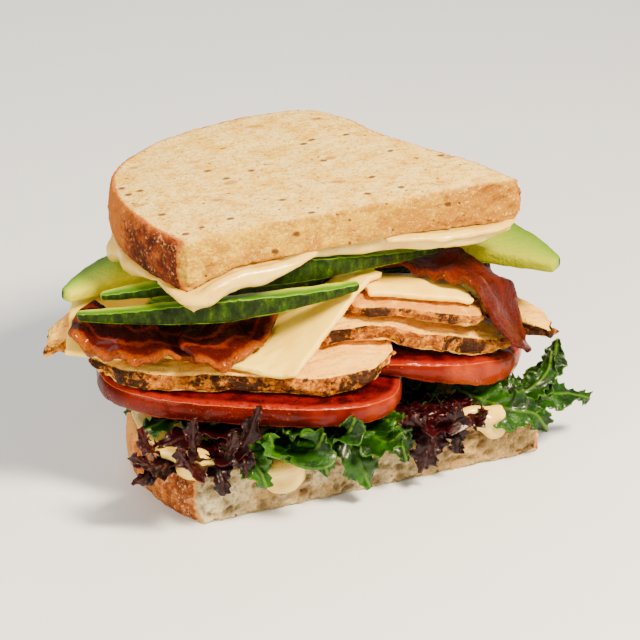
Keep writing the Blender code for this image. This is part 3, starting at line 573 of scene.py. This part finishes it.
def tomato_look():
    look = Look("tomato", Roughness=0.3, Specular_IOR_Level=0.1, Coat_Weight=0.12, Coat_Roughness=0.06)
    # Painted light: a mask makes the skin lighter and oranger towards the right.
    skin = look.ramp(
        look.plus(look.noise(15, 3, stretch=(1, 1, 3)), look.mask("ripe")),
        (0.3, colour(52, 3, 0)), (0.46, colour(76, 6, 0)),
        (0.6, colour(100, 17, 0)), (0.8, colour(142, 46, 0)),
    )
    # Water drops and beads: real bumps, with painted highlights that make them lighter.
    drops_and_glints = look.times(look.dots(3.4, 0.62), look.patches(0.5, 0.56, 9, 2, shift=4))
    beads_and_glints = look.times(look.dots(1.6, 0.3, shift=0.4), look.patches(0.46, 0.56, 11, 2, shift=6))
    skin = look.stain(skin, colour(206, 90, 20), beads_and_glints, 0.1)
    skin = look.stain(skin, colour(186, 74, 12), drops_and_glints, 0.2)
    pulp = look.mix(look.patches(0.35, 0.65, 5, 4), colour(92, 5, 3), colour(44, 2, 3))
    flesh = look.mix(look.step(look.mask("rim"), 0.02, 0.2), pulp, colour(122, 18, 4))
    side = look.mask("side")
    base = look.mix(look.step(side, 0.35, 0.7), flesh, skin)
    edge = look.times(look.step(side, 0.3, 0.42), look.step(side, 0.62, 0.5))
    base = look.stain(base, colour(206, 104, 24), edge, 0.6)
    wet = look.plus(look.times(drops_and_glints, 1.2), look.times(beads_and_glints, 0.5))
    rough = look.times(look.noise(1.2, 3), look.math("SUBTRACT", 1.0, side))
    return look.finish(base, look.plus(rough, wet), 0.3)


def dress_tomatoes():
    look = tomato_look()
    for seed, node in enumerate(("tomato_left", "tomato_right")):
        piece = fine_copy(node + "_slice", node, pitch=0.8, smoothing=5)
        points, normals = points_of(piece), normals_of(piece)
        side = smoothstep(0.8, 0.45, np.abs(normals[:, 2]))
        swell = 0.2 * noise(points, 7, 31 + seed, 2) + (1 - side) * 0.25 * noise(points, 2.2, 33 + seed, 2)
        move(piece, pushed(points, normals, swell))
        # Painted light: the skin is lighter and oranger towards the right, where the light falls.
        ripe = 0.3 * smoothstep(0.01, 0.05, points[:, 0])
        finish_piece(piece, "tomato", look, side=side, rim=spread(piece, side, 23), ripe=ripe)


# ---------------------------------------------------------------- chicken

# The strips' middle lines.
CHICKEN = {
    "chicken_low": [(-18, 31), (9, 18.5), (38, 7), (69, 2)],
    "chicken_back": [(-32, 35), (-8, 45), (22, 52), (50, 52)],
    "chicken_mid": [(43, 13), (64, 10), (86, 6), (108, 4)],
    "chicken_right": [(66, 56), (94, 43), (113, 22), (123, -3)],
    "chicken_top": [(56, 13), (72, 8), (86, 4), (100, 0)],
}
# How far along each strip its grill marks are.
GRILL_MARKS = {
    "chicken_low": (0.08, 0.46, 0.86),
    "chicken_back": (0.5, 0.85),
    "chicken_mid": (0.16, 0.76),
    "chicken_right": (0.15, 0.5, 0.93),
    "chicken_top": (0.25, 0.7),
}
GRILL_MARK_LENGTH = 0.1
# How brown the sides of a strip are, where they aren't browned all over, and how brown its top is.
BROWNED_SIDES = {"chicken_back": 0.6}
BROWNED_TOPS = {"chicken_top": 0.8}


def chicken_look():
    look = Look(
        "grilled_chicken",
        Roughness=0.5,
        Subsurface_Weight=0.06,
        Subsurface_Scale=0.0015,
        Specular_IOR_Level=0.14,
    )
    side = look.mask("side")
    fibre = look.noise(1.2, 4, stretch=(6, 1.5, 1), rough=0.65)
    meat = look.ramp(
        fibre,
        (0.28, colour(204, 126, 26)), (0.42, colour(238, 178, 62)), (0.7, colour(252, 206, 96)),
    )
    meat = look.stain(meat, colour(216, 132, 56), look.patches(0.45, 0.7, 11, 2, shift=2), 0.4)
    cloudy = look.noise(6, 5, rough=0.68)
    roasted = look.times(look.mask("roast"), look.step(cloudy, 0.25, 0.55))
    meat = look.mix(roasted, meat, colour(186, 114, 14))
    browned = look.ramp(
        look.noise(2.2, 5, rough=0.72),
        (0.3, colour(70, 24, 0)), (0.44, colour(122, 58, 0)),
        (0.56, colour(182, 108, 0)), (0.74, colour(224, 164, 20)),
    )
    base = look.mix(look.step(look.plus(side, look.swing(cloudy, 1.5)), 0.36, 0.6), meat, browned)
    burnt = look.plus(look.noise(6, 6, shift=7, rough=0.78), look.times(look.mask("grill"), 0.13))
    char = look.times(look.step(burnt, 0.545, 0.61), look.step(side, 0.15, 0.6))
    base = look.stain(base, colour(32, 9, 0), char, 0.95)
    # Painted sheen: lighter flecks on the char stand in for its glossy highlights.
    char_sheen = look.times(char, look.patches(0.6, 0.7, 1.1, 3, shift=3))
    base = look.stain(base, colour(146, 66, 4), char_sheen, 0.7)
    pepper = look.times(look.dots(4.2, 0.35), look.patches(0.4, 0.55, 10, 2, shift=1))
    base = look.stain(base, colour(54, 24, 8), pepper, 0.85)
    return look.finish(base, look.plus(fibre, look.times(look.noise(0.8, 3), 0.6)), 1.0)


def dress_chicken():
    look = chicken_look()
    for seed, (node, spine) in enumerate(CHICKEN.items()):
        piece = fine_copy(node + "_slice", node, pitch=0.65, smoothing=5)
        points, normals = points_of(piece), normals_of(piece)
        along, across = along_and_across(points, spine)
        side = smoothstep(0.86, 0.4, np.abs(normals[:, 2]))
        grain = np.stack([along * 60 * MM, across * MM, points[:, 2]], axis=1)
        swell = 0.65 * noise(points, 7, 41 + seed, 2) + 0.5 * noise(grain, (9, 1.6, 1.4), 51 + seed, 2)
        ends = smoothstep(0.88, 1, np.abs(2 * along - 1))
        torn = ends * (1.4 * noise(points, 2.6, 71 + seed) - 0.3)
        swell += side * (1.1 * noise(points, 4.5, 61 + seed, 3)) + torn
        move(piece, pushed(points, normals, swell - 0.25))
        high = (points[:, 2] - points[:, 2].min()) / np.ptp(points[:, 2])
        slant = 0.06 * (high - 0.5)
        marks = [np.exp(-(((along - mark + slant) / GRILL_MARK_LENGTH) ** 2)) for mark in GRILL_MARKS[node]]
        finish_piece(
            piece,
            "chicken",
            look,
            side=spread(piece, side, 3) * BROWNED_SIDES.get(node, 1.0),
            grill=np.max(marks, axis=0),
            roast=np.full(len(points), BROWNED_TOPS.get(node, 0.0)),
        )


# ---------------------------------------------------------------- cheese


def cheese_look():
    look = Look(
        "cheese",
        Roughness=0.42,
        Subsurface_Weight=0.1,
        Subsurface_Scale=0.002,
        Specular_IOR_Level=0.35,
    )
    base = look.mix(look.patches(0.35, 0.7, 12, 3), colour(252, 216, 84), colour(246, 194, 56))
    return look.finish(base, look.noise(2.2, 3), 0.12)


def dress_cheese():
    look = cheese_look()
    for seed, node in enumerate(("cheese_left", "cheese_right", "cheese_front")):
        piece = fine_copy(node + "_slice", node, pitch=0.6, smoothing=4)
        points, normals = points_of(piece), normals_of(piece)
        side = smoothstep(0.8, 0.4, np.abs(normals[:, 2]))
        moved = pushed(points, normals, side * 0.35 * noise(points, 2.6, 81 + seed, 2))
        waved = 0.35 * noise(points * (1, 1, 0), 17, 85 + seed)
        move(piece, moved + np.outer(waved, (0, 0, MM)))
        finish_piece(piece, "cheese", look)


# ---------------------------------------------------------------- bacon

# Each rasher's middle line, half its width, how many waves it has, how far its left side is turned out,
# and how far along it that goes.
BACON = {
    "bacon_left": {
        "spine": [(-25, 31), (-17, 19), (-4, 14), (8, 17), (18, 30)],
        "half_width": 7.5,
        "waves": 4.6,
        "turned": (0, 0, 4.4),
        "reach": 0.8,
    },
    "bacon_middle": {
        "spine": [(0, 8), (12, 8), (24, 12), (34, 26), (36, 44)],
        "half_width": 7,
        "waves": 3.6,
        "turned": (0, 0, 2.6),
        "reach": 0.7,
    },
    "bacon_right": {
        "spine": [(68, 32), (84, 20), (96, 9), (103, -1), (106, -11)],
        "half_width": 11,
        "waves": 3.4,
        "turned": (6.5, -1, 5.5),
        "reach": 0.9,
    },
}


def bacon_look():
    look = Look("bacon", Roughness=0.32, Specular_IOR_Level=0.06, Coat_Weight=0.16, Coat_Roughness=0.06)
    base = look.ramp(
        look.plus(look.mask("across"), look.swing(look.noise(9, 4, rough=0.6), 0.5)),
        (0.0, colour(140, 66, 0)), (0.1, colour(116, 42, 0)), (0.16, colour(70, 6, 0)),
        (0.34, colour(58, 3, 1)), (0.42, colour(128, 38, 0)), (0.47, colour(54, 4, 1)),
        (0.62, colour(40, 2, 4)), (0.69, colour(108, 30, 4)), (0.74, colour(36, 2, 4)),
        (0.92, colour(38, 2, 4)), (1.0, colour(104, 36, 2)),
    )
    base = look.stain(base, colour(82, 16, 0), look.mask("warm"), 0.75)
    base = look.stain(base, colour(30, 4, 1), look.patches(0.54, 0.7, 2.8, 5, rough=0.72), 0.6)
    base = look.stain(base, colour(136, 42, 3), look.patches(0.58, 0.7, 5, 5, shift=4, rough=0.7), 0.5)
    height = look.plus(look.noise(1.6, 4, rough=0.6), look.times(look.noise(0.6, 2), 0.6))
    return look.finish(base, height, 1.6)


def dress_rasher(node, seed, look, spine, half_width, waves, turned, reach):
    piece = fine_copy(node + "_rasher", node, pitch=0.5, smoothing=3)
    points, normals = points_of(piece), normals_of(piece)
    along, across = along_and_across(points, spine)
    share = np.clip(across / half_width, -1, 1)
    edge = np.abs(share)
    ruffle = np.sin(2 * math.pi * (waves * along + 0.1 * share + 0.2 * seed)) * (0.35 + 0.65 * share**2)
    ruffle += 0.5 * edge**3 * np.sin(2 * math.pi * (2.3 * waves * along + 0.3 * seed))
    inward = smoothstep(0.99, 0.75, along)
    swell = 0.22 * noise(points, 3.2, 91 + seed, 2) + 0.25 * smoothstep(0.7, 0.95, edge)
    raised = smoothstep(-0.1, 1.0, share) * smoothstep(reach, reach - 0.2, along)
    moved = pushed(points, normals, swell) + np.outer(1.5 * ruffle * inward, (0, 0, MM))
    moved += np.outer(raised, turned) * MM
    jag = (1.0 * noise(points, 3.4, 95 + seed, 2) + 0.8 * ruffle) * smoothstep(0.6, 1.0, edge)
    move(piece, pushed(moved, normals * (1, 1, 0), jag))
    warm = smoothstep(-0.02, 0.02, points[:, 0])
    finish_piece(piece, "bacon", look, across=0.5 + 0.5 * share, warm=warm)


def dress_bacon():
    look = bacon_look()
    for seed, (node, form) in enumerate(BACON.items()):
        dress_rasher(node, seed, look, **form)


# ---------------------------------------------------------------- avocado

# The slices' tips, how far their outer and inner sides bow out from the line between them, and how far in
# the green under the peel goes, from 1 up.
AVOCADO = {
    "avocado_front": {"start": (-26, 25), "end": (57, 3), "outer_bow": 14, "inner_bow": 6, "green": 1.7},
    "avocado_middle": {"start": (-19, 23), "end": (91, 16), "outer_bow": 14, "inner_bow": 2, "green": 1.7},
    "avocado_right": {"start": (123, -4), "end": (80, 60), "outer_bow": 18, "inner_bow": -4, "green": 1.0},
    "avocado_left": {"start": (50, 62), "end": (-26, 35), "outer_bow": 15, "inner_bow": -3, "green": 1.0},
}
# One more slice lies behind and below avocado_middle. It has that one's form, a little shorter.
TUCKED_BEHIND = (10, 14, -12.5)
TUCKED_LENGTH = 0.8
TUCKED_SEED = 9


def from_outer_side(points, start, end, outer_bow, inner_bow):
    """0 on a crescent's outer side and 1 on its inner side."""
    start, end = place([(*start, 0), (*end, 0)])[:, :2]
    ahead = (end - start) / np.linalg.norm(end - start)
    right = np.array([ahead[1], -ahead[0]])
    off = points[:, :2] - start
    u = np.clip(off @ ahead / np.linalg.norm(end - start), 0, 1)
    swell = np.sin(math.pi * (0.03 + 0.94 * u)) ** 0.75
    outer, inner = outer_bow * swell, inner_bow * swell - 0.9
    return np.clip((outer - off @ right / MM) / (outer - inner), 0, 1)


def avocado_look():
    look = Look("avocado", Roughness=0.4, Specular_IOR_Level=0.1)
    flesh = look.ramp(
        look.plus(look.mask("inward"), look.swing(look.noise(9, 3), 0.14)),
        (0.0, colour(50, 94, 0)), (0.2, colour(88, 132, 0)), (0.42, colour(134, 168, 0)),
        (0.75, colour(176, 192, 0)), (1.0, colour(194, 188, 0)),
    )
    peeled = look.ramp(
        look.noise(2.6, 5, stretch=(0.9, 1, 1.8), rough=0.68),
        (0.3, colour(10, 20, 1)), (0.46, colour(21, 38, 1)),
        (0.6, colour(38, 60, 1)), (0.8, colour(84, 116, 4)),
    )
    flesh = look.stain(flesh, colour(92, 116, 0), look.mask("sunlit"), 0.6)
    side = look.mask("peeled")
    base = look.mix(look.step(side, 0.3, 0.6), flesh, peeled)
    lip = look.times(look.step(side, 0.12, 0.3), look.step(side, 0.6, 0.4))
    base = look.stain(base, colour(110, 158, 10), lip, 0.6)
    return look.finish(base, look.plus(look.noise(2.0, 4), look.times(look.noise(0.8, 2), 0.3)), 0.6)


def dress_slice(piece, seed, look, green, **crescent):
    points, normals = points_of(piece), normals_of(piece)
    inward = from_outer_side(points, **crescent)
    side = smoothstep(0.75, 0.35, np.abs(normals[:, 2])) * smoothstep(0.5, 0.2, inward)
    facets = 0.35 * noise(points, (4.5, 4.5, 9), 101 + seed, 2) * side + 0.1 * noise(points, 4, 115 + seed)
    move(piece, pushed(points, normals, facets - 0.05))
    sunlit = smoothstep(0.03, 0.06, points[:, 0])
    finish_piece(piece, "avocado", look, inward=inward**green, sunlit=sunlit, peeled=spread(piece, side, 1))


def dress_avocado():
    look = avocado_look()
    for seed, (node, form) in enumerate(AVOCADO.items()):
        piece = fine_copy(node + "_slice", node, pitch=0.7, smoothing=4)
        dress_slice(piece, seed, look, **form)
    tucked = fine_copy("avocado_tucked_slice", "avocado_middle", pitch=0.8, smoothing=6)
    dress_slice(tucked, TUCKED_SEED, look, **AVOCADO["avocado_middle"])
    points = points_of(tucked)
    middle = points[:, 0].mean()
    points[:, 0] = middle + TUCKED_LENGTH * (points[:, 0] - middle)
    move(tucked, points + np.array(TUCKED_BEHIND) * MM)


# ---------------------------------------------------------------- lettuce

# Which way a leaf's upper face looks.
UPWARD = (0, -0.6, 1)
HANGING = (0, -1, 0.6)
SIDEWAYS = (-0.4, -0.5, 1)
FLAT = (0, 0, 1)
LEAF_THICKNESS = 0.45


@dataclass
class Leaf:
    """A thin leaf along a rib. Its edge is lobed, ruffled and frilled. tone is how pale it is."""

    rib: list
    half_width: float
    facing: tuple
    lobes: int = 3
    notch: float = 0.3
    ruffle: float = 1.6
    frill: float = 0.8
    frills: int = 11
    phase: float = 0.0
    tone: float = 0.5

    def grid(self, along, across):
        """Its middle surface, its veins and how near its edge each point is."""
        rib = smooth_curve(self.rib, along)
        ahead = np.gradient(rib, axis=0)
        ahead /= np.linalg.norm(ahead, axis=1)[:, None]
        side = np.cross(ahead, np.broadcast_to(self.facing, ahead.shape))
        side /= np.linalg.norm(side, axis=1)[:, None]
        normal = np.cross(side, ahead)
        u = np.linspace(0, 1, along)[:, None]
        v = np.linspace(-1, 1, across)[None, :]
        sign = np.sign(v)
        edge = np.abs(v)
        body = np.sin(np.pi * np.clip(0.16 + 0.82 * u, 0, 1)) ** 0.7
        lobing = 0.5 + 0.5 * np.cos(2 * np.pi * (self.lobes * u + 0.15 * sign + self.phase))
        teeth = 0.5 + 0.5 * np.cos(2 * np.pi * (3.3 * self.lobes * u + 0.35 * sign + 2 * self.phase))
        cut_in = (self.notch * lobing + 0.16 * teeth) * edge * np.clip(2.2 * u, 0, 1)
        width = self.half_width * body * (1 - cut_in)
        loose = np.clip(1.6 * u - 0.3, 0, 1)
        swing = np.sin(2 * np.pi * (3.0 * u + 0.22 * sign + self.phase))
        curl = np.sin(2 * np.pi * (self.frills * u + 0.31 * sign + 3 * self.phase))
        lift = self.ruffle * loose * edge**1.6 * swing + 0.1 * width * v**2
        lift = lift + self.frill * (0.3 + 0.7 * loose) * edge**3.5 * curl
        veins = np.exp(-((edge * width / 0.55) ** 2))
        branch = np.abs((7 * u - 0.9 * edge * self.half_width / 6) % 1 - 0.5)
        veins = np.maximum(veins, 0.55 * np.exp(-((branch / 0.07) ** 2)) * (1 - 0.6 * edge))
        lift = lift + 0.35 * veins - 0.3 * np.cos(2 * np.pi * (7 * u - 0.9 * edge)) * (1 - v**2) * 0.5
        middle = rib[:, None] + side[:, None] * (v * width)[:, :, None] + normal[:, None] * lift[:, :, None]
        return middle, veins, np.broadcast_to(edge, veins.shape)


def leaves_piece(name, leaves, look, along=54, across=26):
    """One piece of many thin leaves, each with so many rows of points along and across it."""
    points, faces, vein, edge, tone = [], [], [], [], []
    count = along * across
    for number, leaf in enumerate(leaves):
        middle, veins, nearness = leaf.grid(along, across)
        normal = np.cross(np.gradient(middle, axis=0), np.gradient(middle, axis=1))
        normal /= np.maximum(np.linalg.norm(normal, axis=2), 1e-9)[:, :, None]
        thick = LEAF_THICKNESS * (1 + 1.2 * veins - 0.4 * nearness)[:, :, None]
        points += [(middle - normal * thick / 2).reshape(-1, 3), (middle + normal * thick / 2).reshape(-1, 3)]
        index = np.arange(count).reshape(along, across) + 2 * count * number
        corners = (index[:-1, :-1], index[1:, :-1], index[1:, 1:], index[:-1, 1:])
        quads = np.stack(corners, axis=-1).reshape(-1, 4)
        border = np.concatenate([index[:, 0], index[-1, 1:], index[-2::-1, -1], index[0, -2:0:-1]])
        following = np.roll(border, -1)
        rim = np.stack([border, following, following + count, border + count], axis=-1)
        faces += [quads[:, ::-1], quads + count, rim]
        vein += 2 * [veins.ravel()]
        edge += 2 * [nearness.ravel()]
        tone += 2 * [np.full(count, leaf.tone)]
    mesh = bpy.data.meshes.new(name)
    mesh.from_pydata([tuple(p) for p in place(np.vstack(points))], [], np.vstack(faces).tolist())
    mesh.update()
    mesh.shade_smooth()
    piece = link(name, mesh)
    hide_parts("lettuce")
    masks = {"vein": np.concatenate(vein), "edge": np.concatenate(edge), "tone": np.concatenate(tone)}
    finish_piece(piece, "lettuce", look, **masks)


def leaf_look(name, deep, plain, fresh, vein, rim):
    look = Look(name, Roughness=0.3, Specular_IOR_Level=0.15, Coat_Weight=0.16, Coat_Roughness=0.12)
    clouds = look.plus(look.noise(7, 4), look.swing(look.mask("tone"), 0.5))
    base = look.ramp(clouds, (0.28, deep), (0.5, plain), (0.75, fresh))
    base = look.stain(base, vein, look.step(look.mask("vein"), 0.4, 1.0), 0.5)
    base = look.stain(base, rim, look.step(look.mask("edge"), 0.82, 1.0), 0.45)
    return look.finish(base, look.plus(look.noise(1.5, 4), look.times(look.noise(0.5, 2), 0.3)), 0.5)


# What leaves that lie together have in common.
FLAT_LEAF = {"facing": FLAT, "lobes": 4, "frill": 1.3}
GREEN_FALL = {"facing": HANGING, "ruffle": 1.2}
TUFT = {"lobes": 4, "notch": 0.55}
HEART = {"facing": UPWARD, "lobes": 5, "notch": 0.4, "frill": 1.6, "frills": 15}
RED_FALL = {"facing": HANGING, "lobes": 4, "notch": 0.4, "frill": 1.4, "frills": 13}

GREEN_LEAVES = (
    # On the bed, at the left and in the middle.
    Leaf([(28, 26, 25), (10, 20, 27.5), (-3, 14, 28), (-11, 12, 27)], 10, phase=0.25, tone=0.3, **FLAT_LEAF),
    Leaf([(28, 38, 25), (10, 34, 27.5), (-3, 30, 28), (-10, 30, 25)], 11, phase=0.65, **FLAT_LEAF),
    Leaf([(44, 12, 25), (38, 2, 27), (33, -4, 27), (28, -9, 28)], 9, phase=0.15, tone=0.4, **FLAT_LEAF),
    # At the cut.
    Leaf([(34, 3, 23), (33, -9, 22), (34, -17, 25), (36, -20, 32)], 12, UPWARD, ruffle=1.8, phase=0.1),
    Leaf([(56, 3, 22.5), (57, -10, 21.5), (59, -17, 22), (62, -21, 27)], 10, UPWARD, ruffle=1.4, phase=0.45),
    Leaf([(47, 2, 23), (46, -9, 23), (46, -15, 27), (47, -18, 34)], 9, UPWARD, phase=0.75, tone=0.35),
    Leaf([(24, 3, 23), (23, -8, 22), (21, -14, 27), (19, -16, 33)], 8, UPWARD, 4, phase=0.3, tone=0.7),
    Leaf([(49, 3, 22), (49, -8, 21.5), (51, -13, 15), (54, -14, 6)], 9, phase=0.2, tone=0.6, **GREEN_FALL),
    Leaf([(38, 3, 22), (38, -8, 22), (39, -12, 18), (40, -13, 13)], 6, phase=0.9, **GREEN_FALL),
    Leaf([(15, 3, 24), (15, -8, 23), (17, -13, 20), (19, -14, 14)], 7.5, HANGING, 4, phase=0.6, tone=0.9),
    Leaf([(64, 3, 22), (65, -8, 21), (66, -12, 17), (67, -13, 12)], 7, HANGING, 4, phase=0.4, tone=0.4),
    # The spray past the right end.
    Leaf(
        [(97, 9, 21.5), (113, 0, 20), (125, 2, 25), (130, 5, 34)],
        8, SIDEWAYS, lobes=4, ruffle=1.4, frill=1.3, frills=15, tone=0.25,
    ),
    Leaf(
        [(97, 7, 21.5), (112, -2, 21), (122, -2, 26), (125, 0, 33)],
        6, SIDEWAYS, lobes=5, frill=1.3, frills=15, phase=0.3, tone=0.4,
    ),
    Leaf(
        [(95, 8, 22), (110, -4, 20.5), (126, -4, 19), (138, -2, 14)],
        8, UPWARD, lobes=4, frill=1.3, frills=15, phase=0.5, tone=0.3,
    ),
    Leaf(
        [(95, 6, 22), (105, -8, 20), (113, -11, 18), (118, -11, 11)],
        8, HANGING, frill=1.1, frills=13, phase=0.8,
    ),
)
RED_LEAVES = (
    # The tuft at the left.
    Leaf([(2, 8, 23), (-8, -2, 23), (-15, -5, 24), (-21, -4, 29)], 6, SIDEWAYS, **TUFT),
    Leaf([(3, 4, 24), (0, -6, 25), (-3, -9, 31), (-3, -10, 41)], 5, UPWARD, phase=0.35, tone=0.4, **TUFT),
    Leaf([(10, 4, 24), (12, -7, 25), (15, -10, 31), (18, -11, 41)], 5, UPWARD, phase=0.6, tone=0.3, **TUFT),
    Leaf([(26, 14, 25), (10, 6, 27), (-2, 2, 28), (-11, 0, 27)], 10, FLAT, 4, 0.45, phase=0.5, tone=0.3),
    Leaf([(2, 8, 22), (-8, -1, 22), (-15, -4, 21), (-21, -4, 19)], 5, SIDEWAYS, phase=0.4, **TUFT),
    Leaf([(2, 8, 23), (-9, 2, 25), (-15, -1, 30), (-18, -3, 37)], 4.5, SIDEWAYS, 4, 0.5, phase=0.7, tone=0.8),
    Leaf([(4, 4, 23), (0, -7, 23), (-5, -12, 25), (-10, -13, 33)], 6.5, UPWARD, phase=0.2, **TUFT),
    Leaf([(8, 4, 24), (7, -8, 24), (7, -13, 28), (9, -14, 36)], 5.5, UPWARD, phase=0.9, tone=0.35, **TUFT),
    Leaf([(7, 4, 23), (5, -7, 22), (5, -12, 19), (5, -13, 14)], 6, HANGING, phase=0.7, tone=0.25),
    Leaf([(13, 4, 24), (12, -8, 24), (12, -13, 24), (12, -15, 20)], 6, HANGING, 3, 0.4, phase=0.1, tone=0.3),
    # The heart to the right of the middle.
    Leaf([(82, 4, 22), (82, -8, 20.5), (83, -13, 22), (83, -15, 29)], 9, phase=0.5, **HEART),
    Leaf([(74, 4, 22), (74, -8, 21.5), (73, -13, 23), (72, -15, 28)], 8, phase=0.8, **HEART),
    Leaf([(90, 4, 22), (91, -6, 21), (93, -12, 21), (95, -14, 24)], 6.5, phase=0.2, **HEART),
    Leaf([(76, 4, 21), (76, -7, 20.5), (75, -12, 15), (72, -13, 7)], 9, phase=0.1, **RED_FALL),
    Leaf([(85, 4, 21), (85, -7, 20.5), (85, -12, 16), (85, -13, 11)], 7, phase=0.6, tone=0.3, **RED_FALL),
)
SALAD_MIDDLE = np.array([54.0, 35.0])
SALAD_RADII = np.array([54.0, 36.0])


def bed_leaves(count, seed, low, high, start, reach):
    """Leaves that lie out from near the middle of the salad, all round it, between two heights. start and
    reach are where they begin and end, as shares of the way to the salad's rim."""
    random = np.random.default_rng(seed)
    leaves = []
    for turn in range(count):
        angle = 2 * math.pi * (turn + random.uniform(-0.3, 0.3)) / count
        aim = np.array([math.cos(angle), math.sin(angle)])
        square = (np.abs(aim) ** 3).sum() ** (1 / 3)
        rim = SALAD_RADII * aim / square
        level = random.uniform(low, high) - 0.04 * rim[0]
        rib = []
        for share, rise in ((start, 0.0), (0.55, 0.4), (0.85, 0.2), (reach, random.uniform(-1.5, 1.5))):
            rib.append((*(SALAD_MIDDLE + share * rim), level + rise))
        half_width = random.uniform(13, 18)
        phase = random.uniform(0, 1)
        tone = random.uniform(0.1, 0.8)
        leaves.append(Leaf(rib, half_width, FLAT, 4, 0.35, ruffle=2.2, frill=1.2, phase=phase, tone=tone))
    return leaves


def dress_lettuce():
    green = leaf_look(
        "green_lettuce",
        deep=colour(4, 17, 0),
        plain=colour(14, 48, 0),
        fresh=colour(40, 86, 1),
        vein=colour(84, 122, 14),
        rim=colour(66, 114, 4),
    )
    red = leaf_look(
        "red_lettuce",
        deep=colour(11, 0, 2),
        plain=colour(28, 1, 4),
        fresh=colour(50, 3, 8),
        vein=colour(52, 14, 6),
        rim=colour(64, 7, 10),
    )
    lower_bed = bed_leaves(13, seed=5, low=21.5, high=23.5, start=0.35, reach=1.0)
    upper_bed = bed_leaves(11, seed=6, low=25, high=27, start=0.0, reach=0.97)
    red_bed = bed_leaves(7, seed=7, low=23.0, high=25.5, start=0.1, reach=0.98)
    leaves_piece("lettuce_green", GREEN_LEAVES, green)
    leaves_piece("lettuce_red", RED_LEAVES, red)
    leaves_piece("lettuce_bed_green", lower_bed + upper_bed, green, along=36, across=20)
    leaves_piece("lettuce_bed_red", red_bed, red, along=36, across=20)


# ---------------------------------------------------------------- the studio

# Where the camera aims, and where that point shows: right of and above the picture's middle, as a share of
# its width. Its distance is in metres.
AIM = (48.0, 18.0, 46.0)
AIM_SHIFT = (0.0164, 0.0234)
AZIMUTH, ELEVATION = -24.3, 26.0
DISTANCE = 1.0
LENS, SENSOR_WIDTH = 179.4, 36
# The lights aim at the sandwich's middle, which is given in metres, as their distances are.
LIGHTS_AIM = Vector((0, 0, 0.045))
DAYLIGHT, DAYLIGHT_STRENGTH = (1.0, 0.95, 0.88), 0.42
FLOOR_SIZE = 6


def direction(azimuth, elevation):
    a, e = math.radians(azimuth), math.radians(elevation)
    return Vector((math.sin(a) * math.cos(e), -math.cos(a) * math.cos(e), math.sin(e)))


def stand(made, aim, towards, distance):
    """Stands a camera or a light at a distance from a point, and turns it to the point."""
    made.location = aim + towards * distance
    made.rotation_euler = (-towards).to_track_quat("-Z", "Y").to_euler()


def add_camera():
    camera = link("camera", bpy.data.cameras.new("camera"))
    stand(camera, Vector(place(AIM)), direction(AZIMUTH, ELEVATION), DISTANCE)
    camera.data.lens = LENS
    camera.data.sensor_width = SENSOR_WIDTH
    camera.data.shift_x, camera.data.shift_y = AIM_SHIFT
    camera.data.clip_start = 0.01
    bpy.context.scene.camera = camera


def add_light(name, azimuth, elevation, distance, size, power, tint):
    lamp = bpy.data.lights.new(name, "AREA")
    lamp.size = size
    lamp.energy = power
    lamp.color = tint
    stand(link(name, lamp), LIGHTS_AIM, direction(azimuth, elevation), distance)


def add_studio():
    bpy.ops.mesh.primitive_plane_add(size=FLOOR_SIZE)
    floor = bpy.context.object
    floor.name = "floor"
    look = Look("pale_floor", Roughness=0.7)
    base = look.mix(look.noise(40, 3), colour(222, 228, 238), colour(226, 232, 241))
    floor.data.materials.append(look.finish(base))
    world = bpy.data.worlds.new("studio")
    world.use_nodes = True
    back = world.node_tree.nodes["Background"]
    back.inputs["Color"].default_value = (*DAYLIGHT, 1)
    back.inputs["Strength"].default_value = DAYLIGHT_STRENGTH
    bpy.context.scene.world = world
    add_light("key", 24, 50, distance=0.7, size=0.16, power=20, tint=(1.0, 0.82, 0.56))
    add_light("fill", -60, 30, distance=0.8, size=0.5, power=6.0, tint=(1.0, 0.86, 0.64))
    add_light("rim", 170, 45, distance=0.8, size=0.5, power=3, tint=DAYLIGHT)


add_camera()
add_studio()
dress_breads()
dress_sauces()
dress_tomatoes()
dress_chicken()
dress_cheese()
dress_bacon()
dress_avocado()
dress_lettuce()
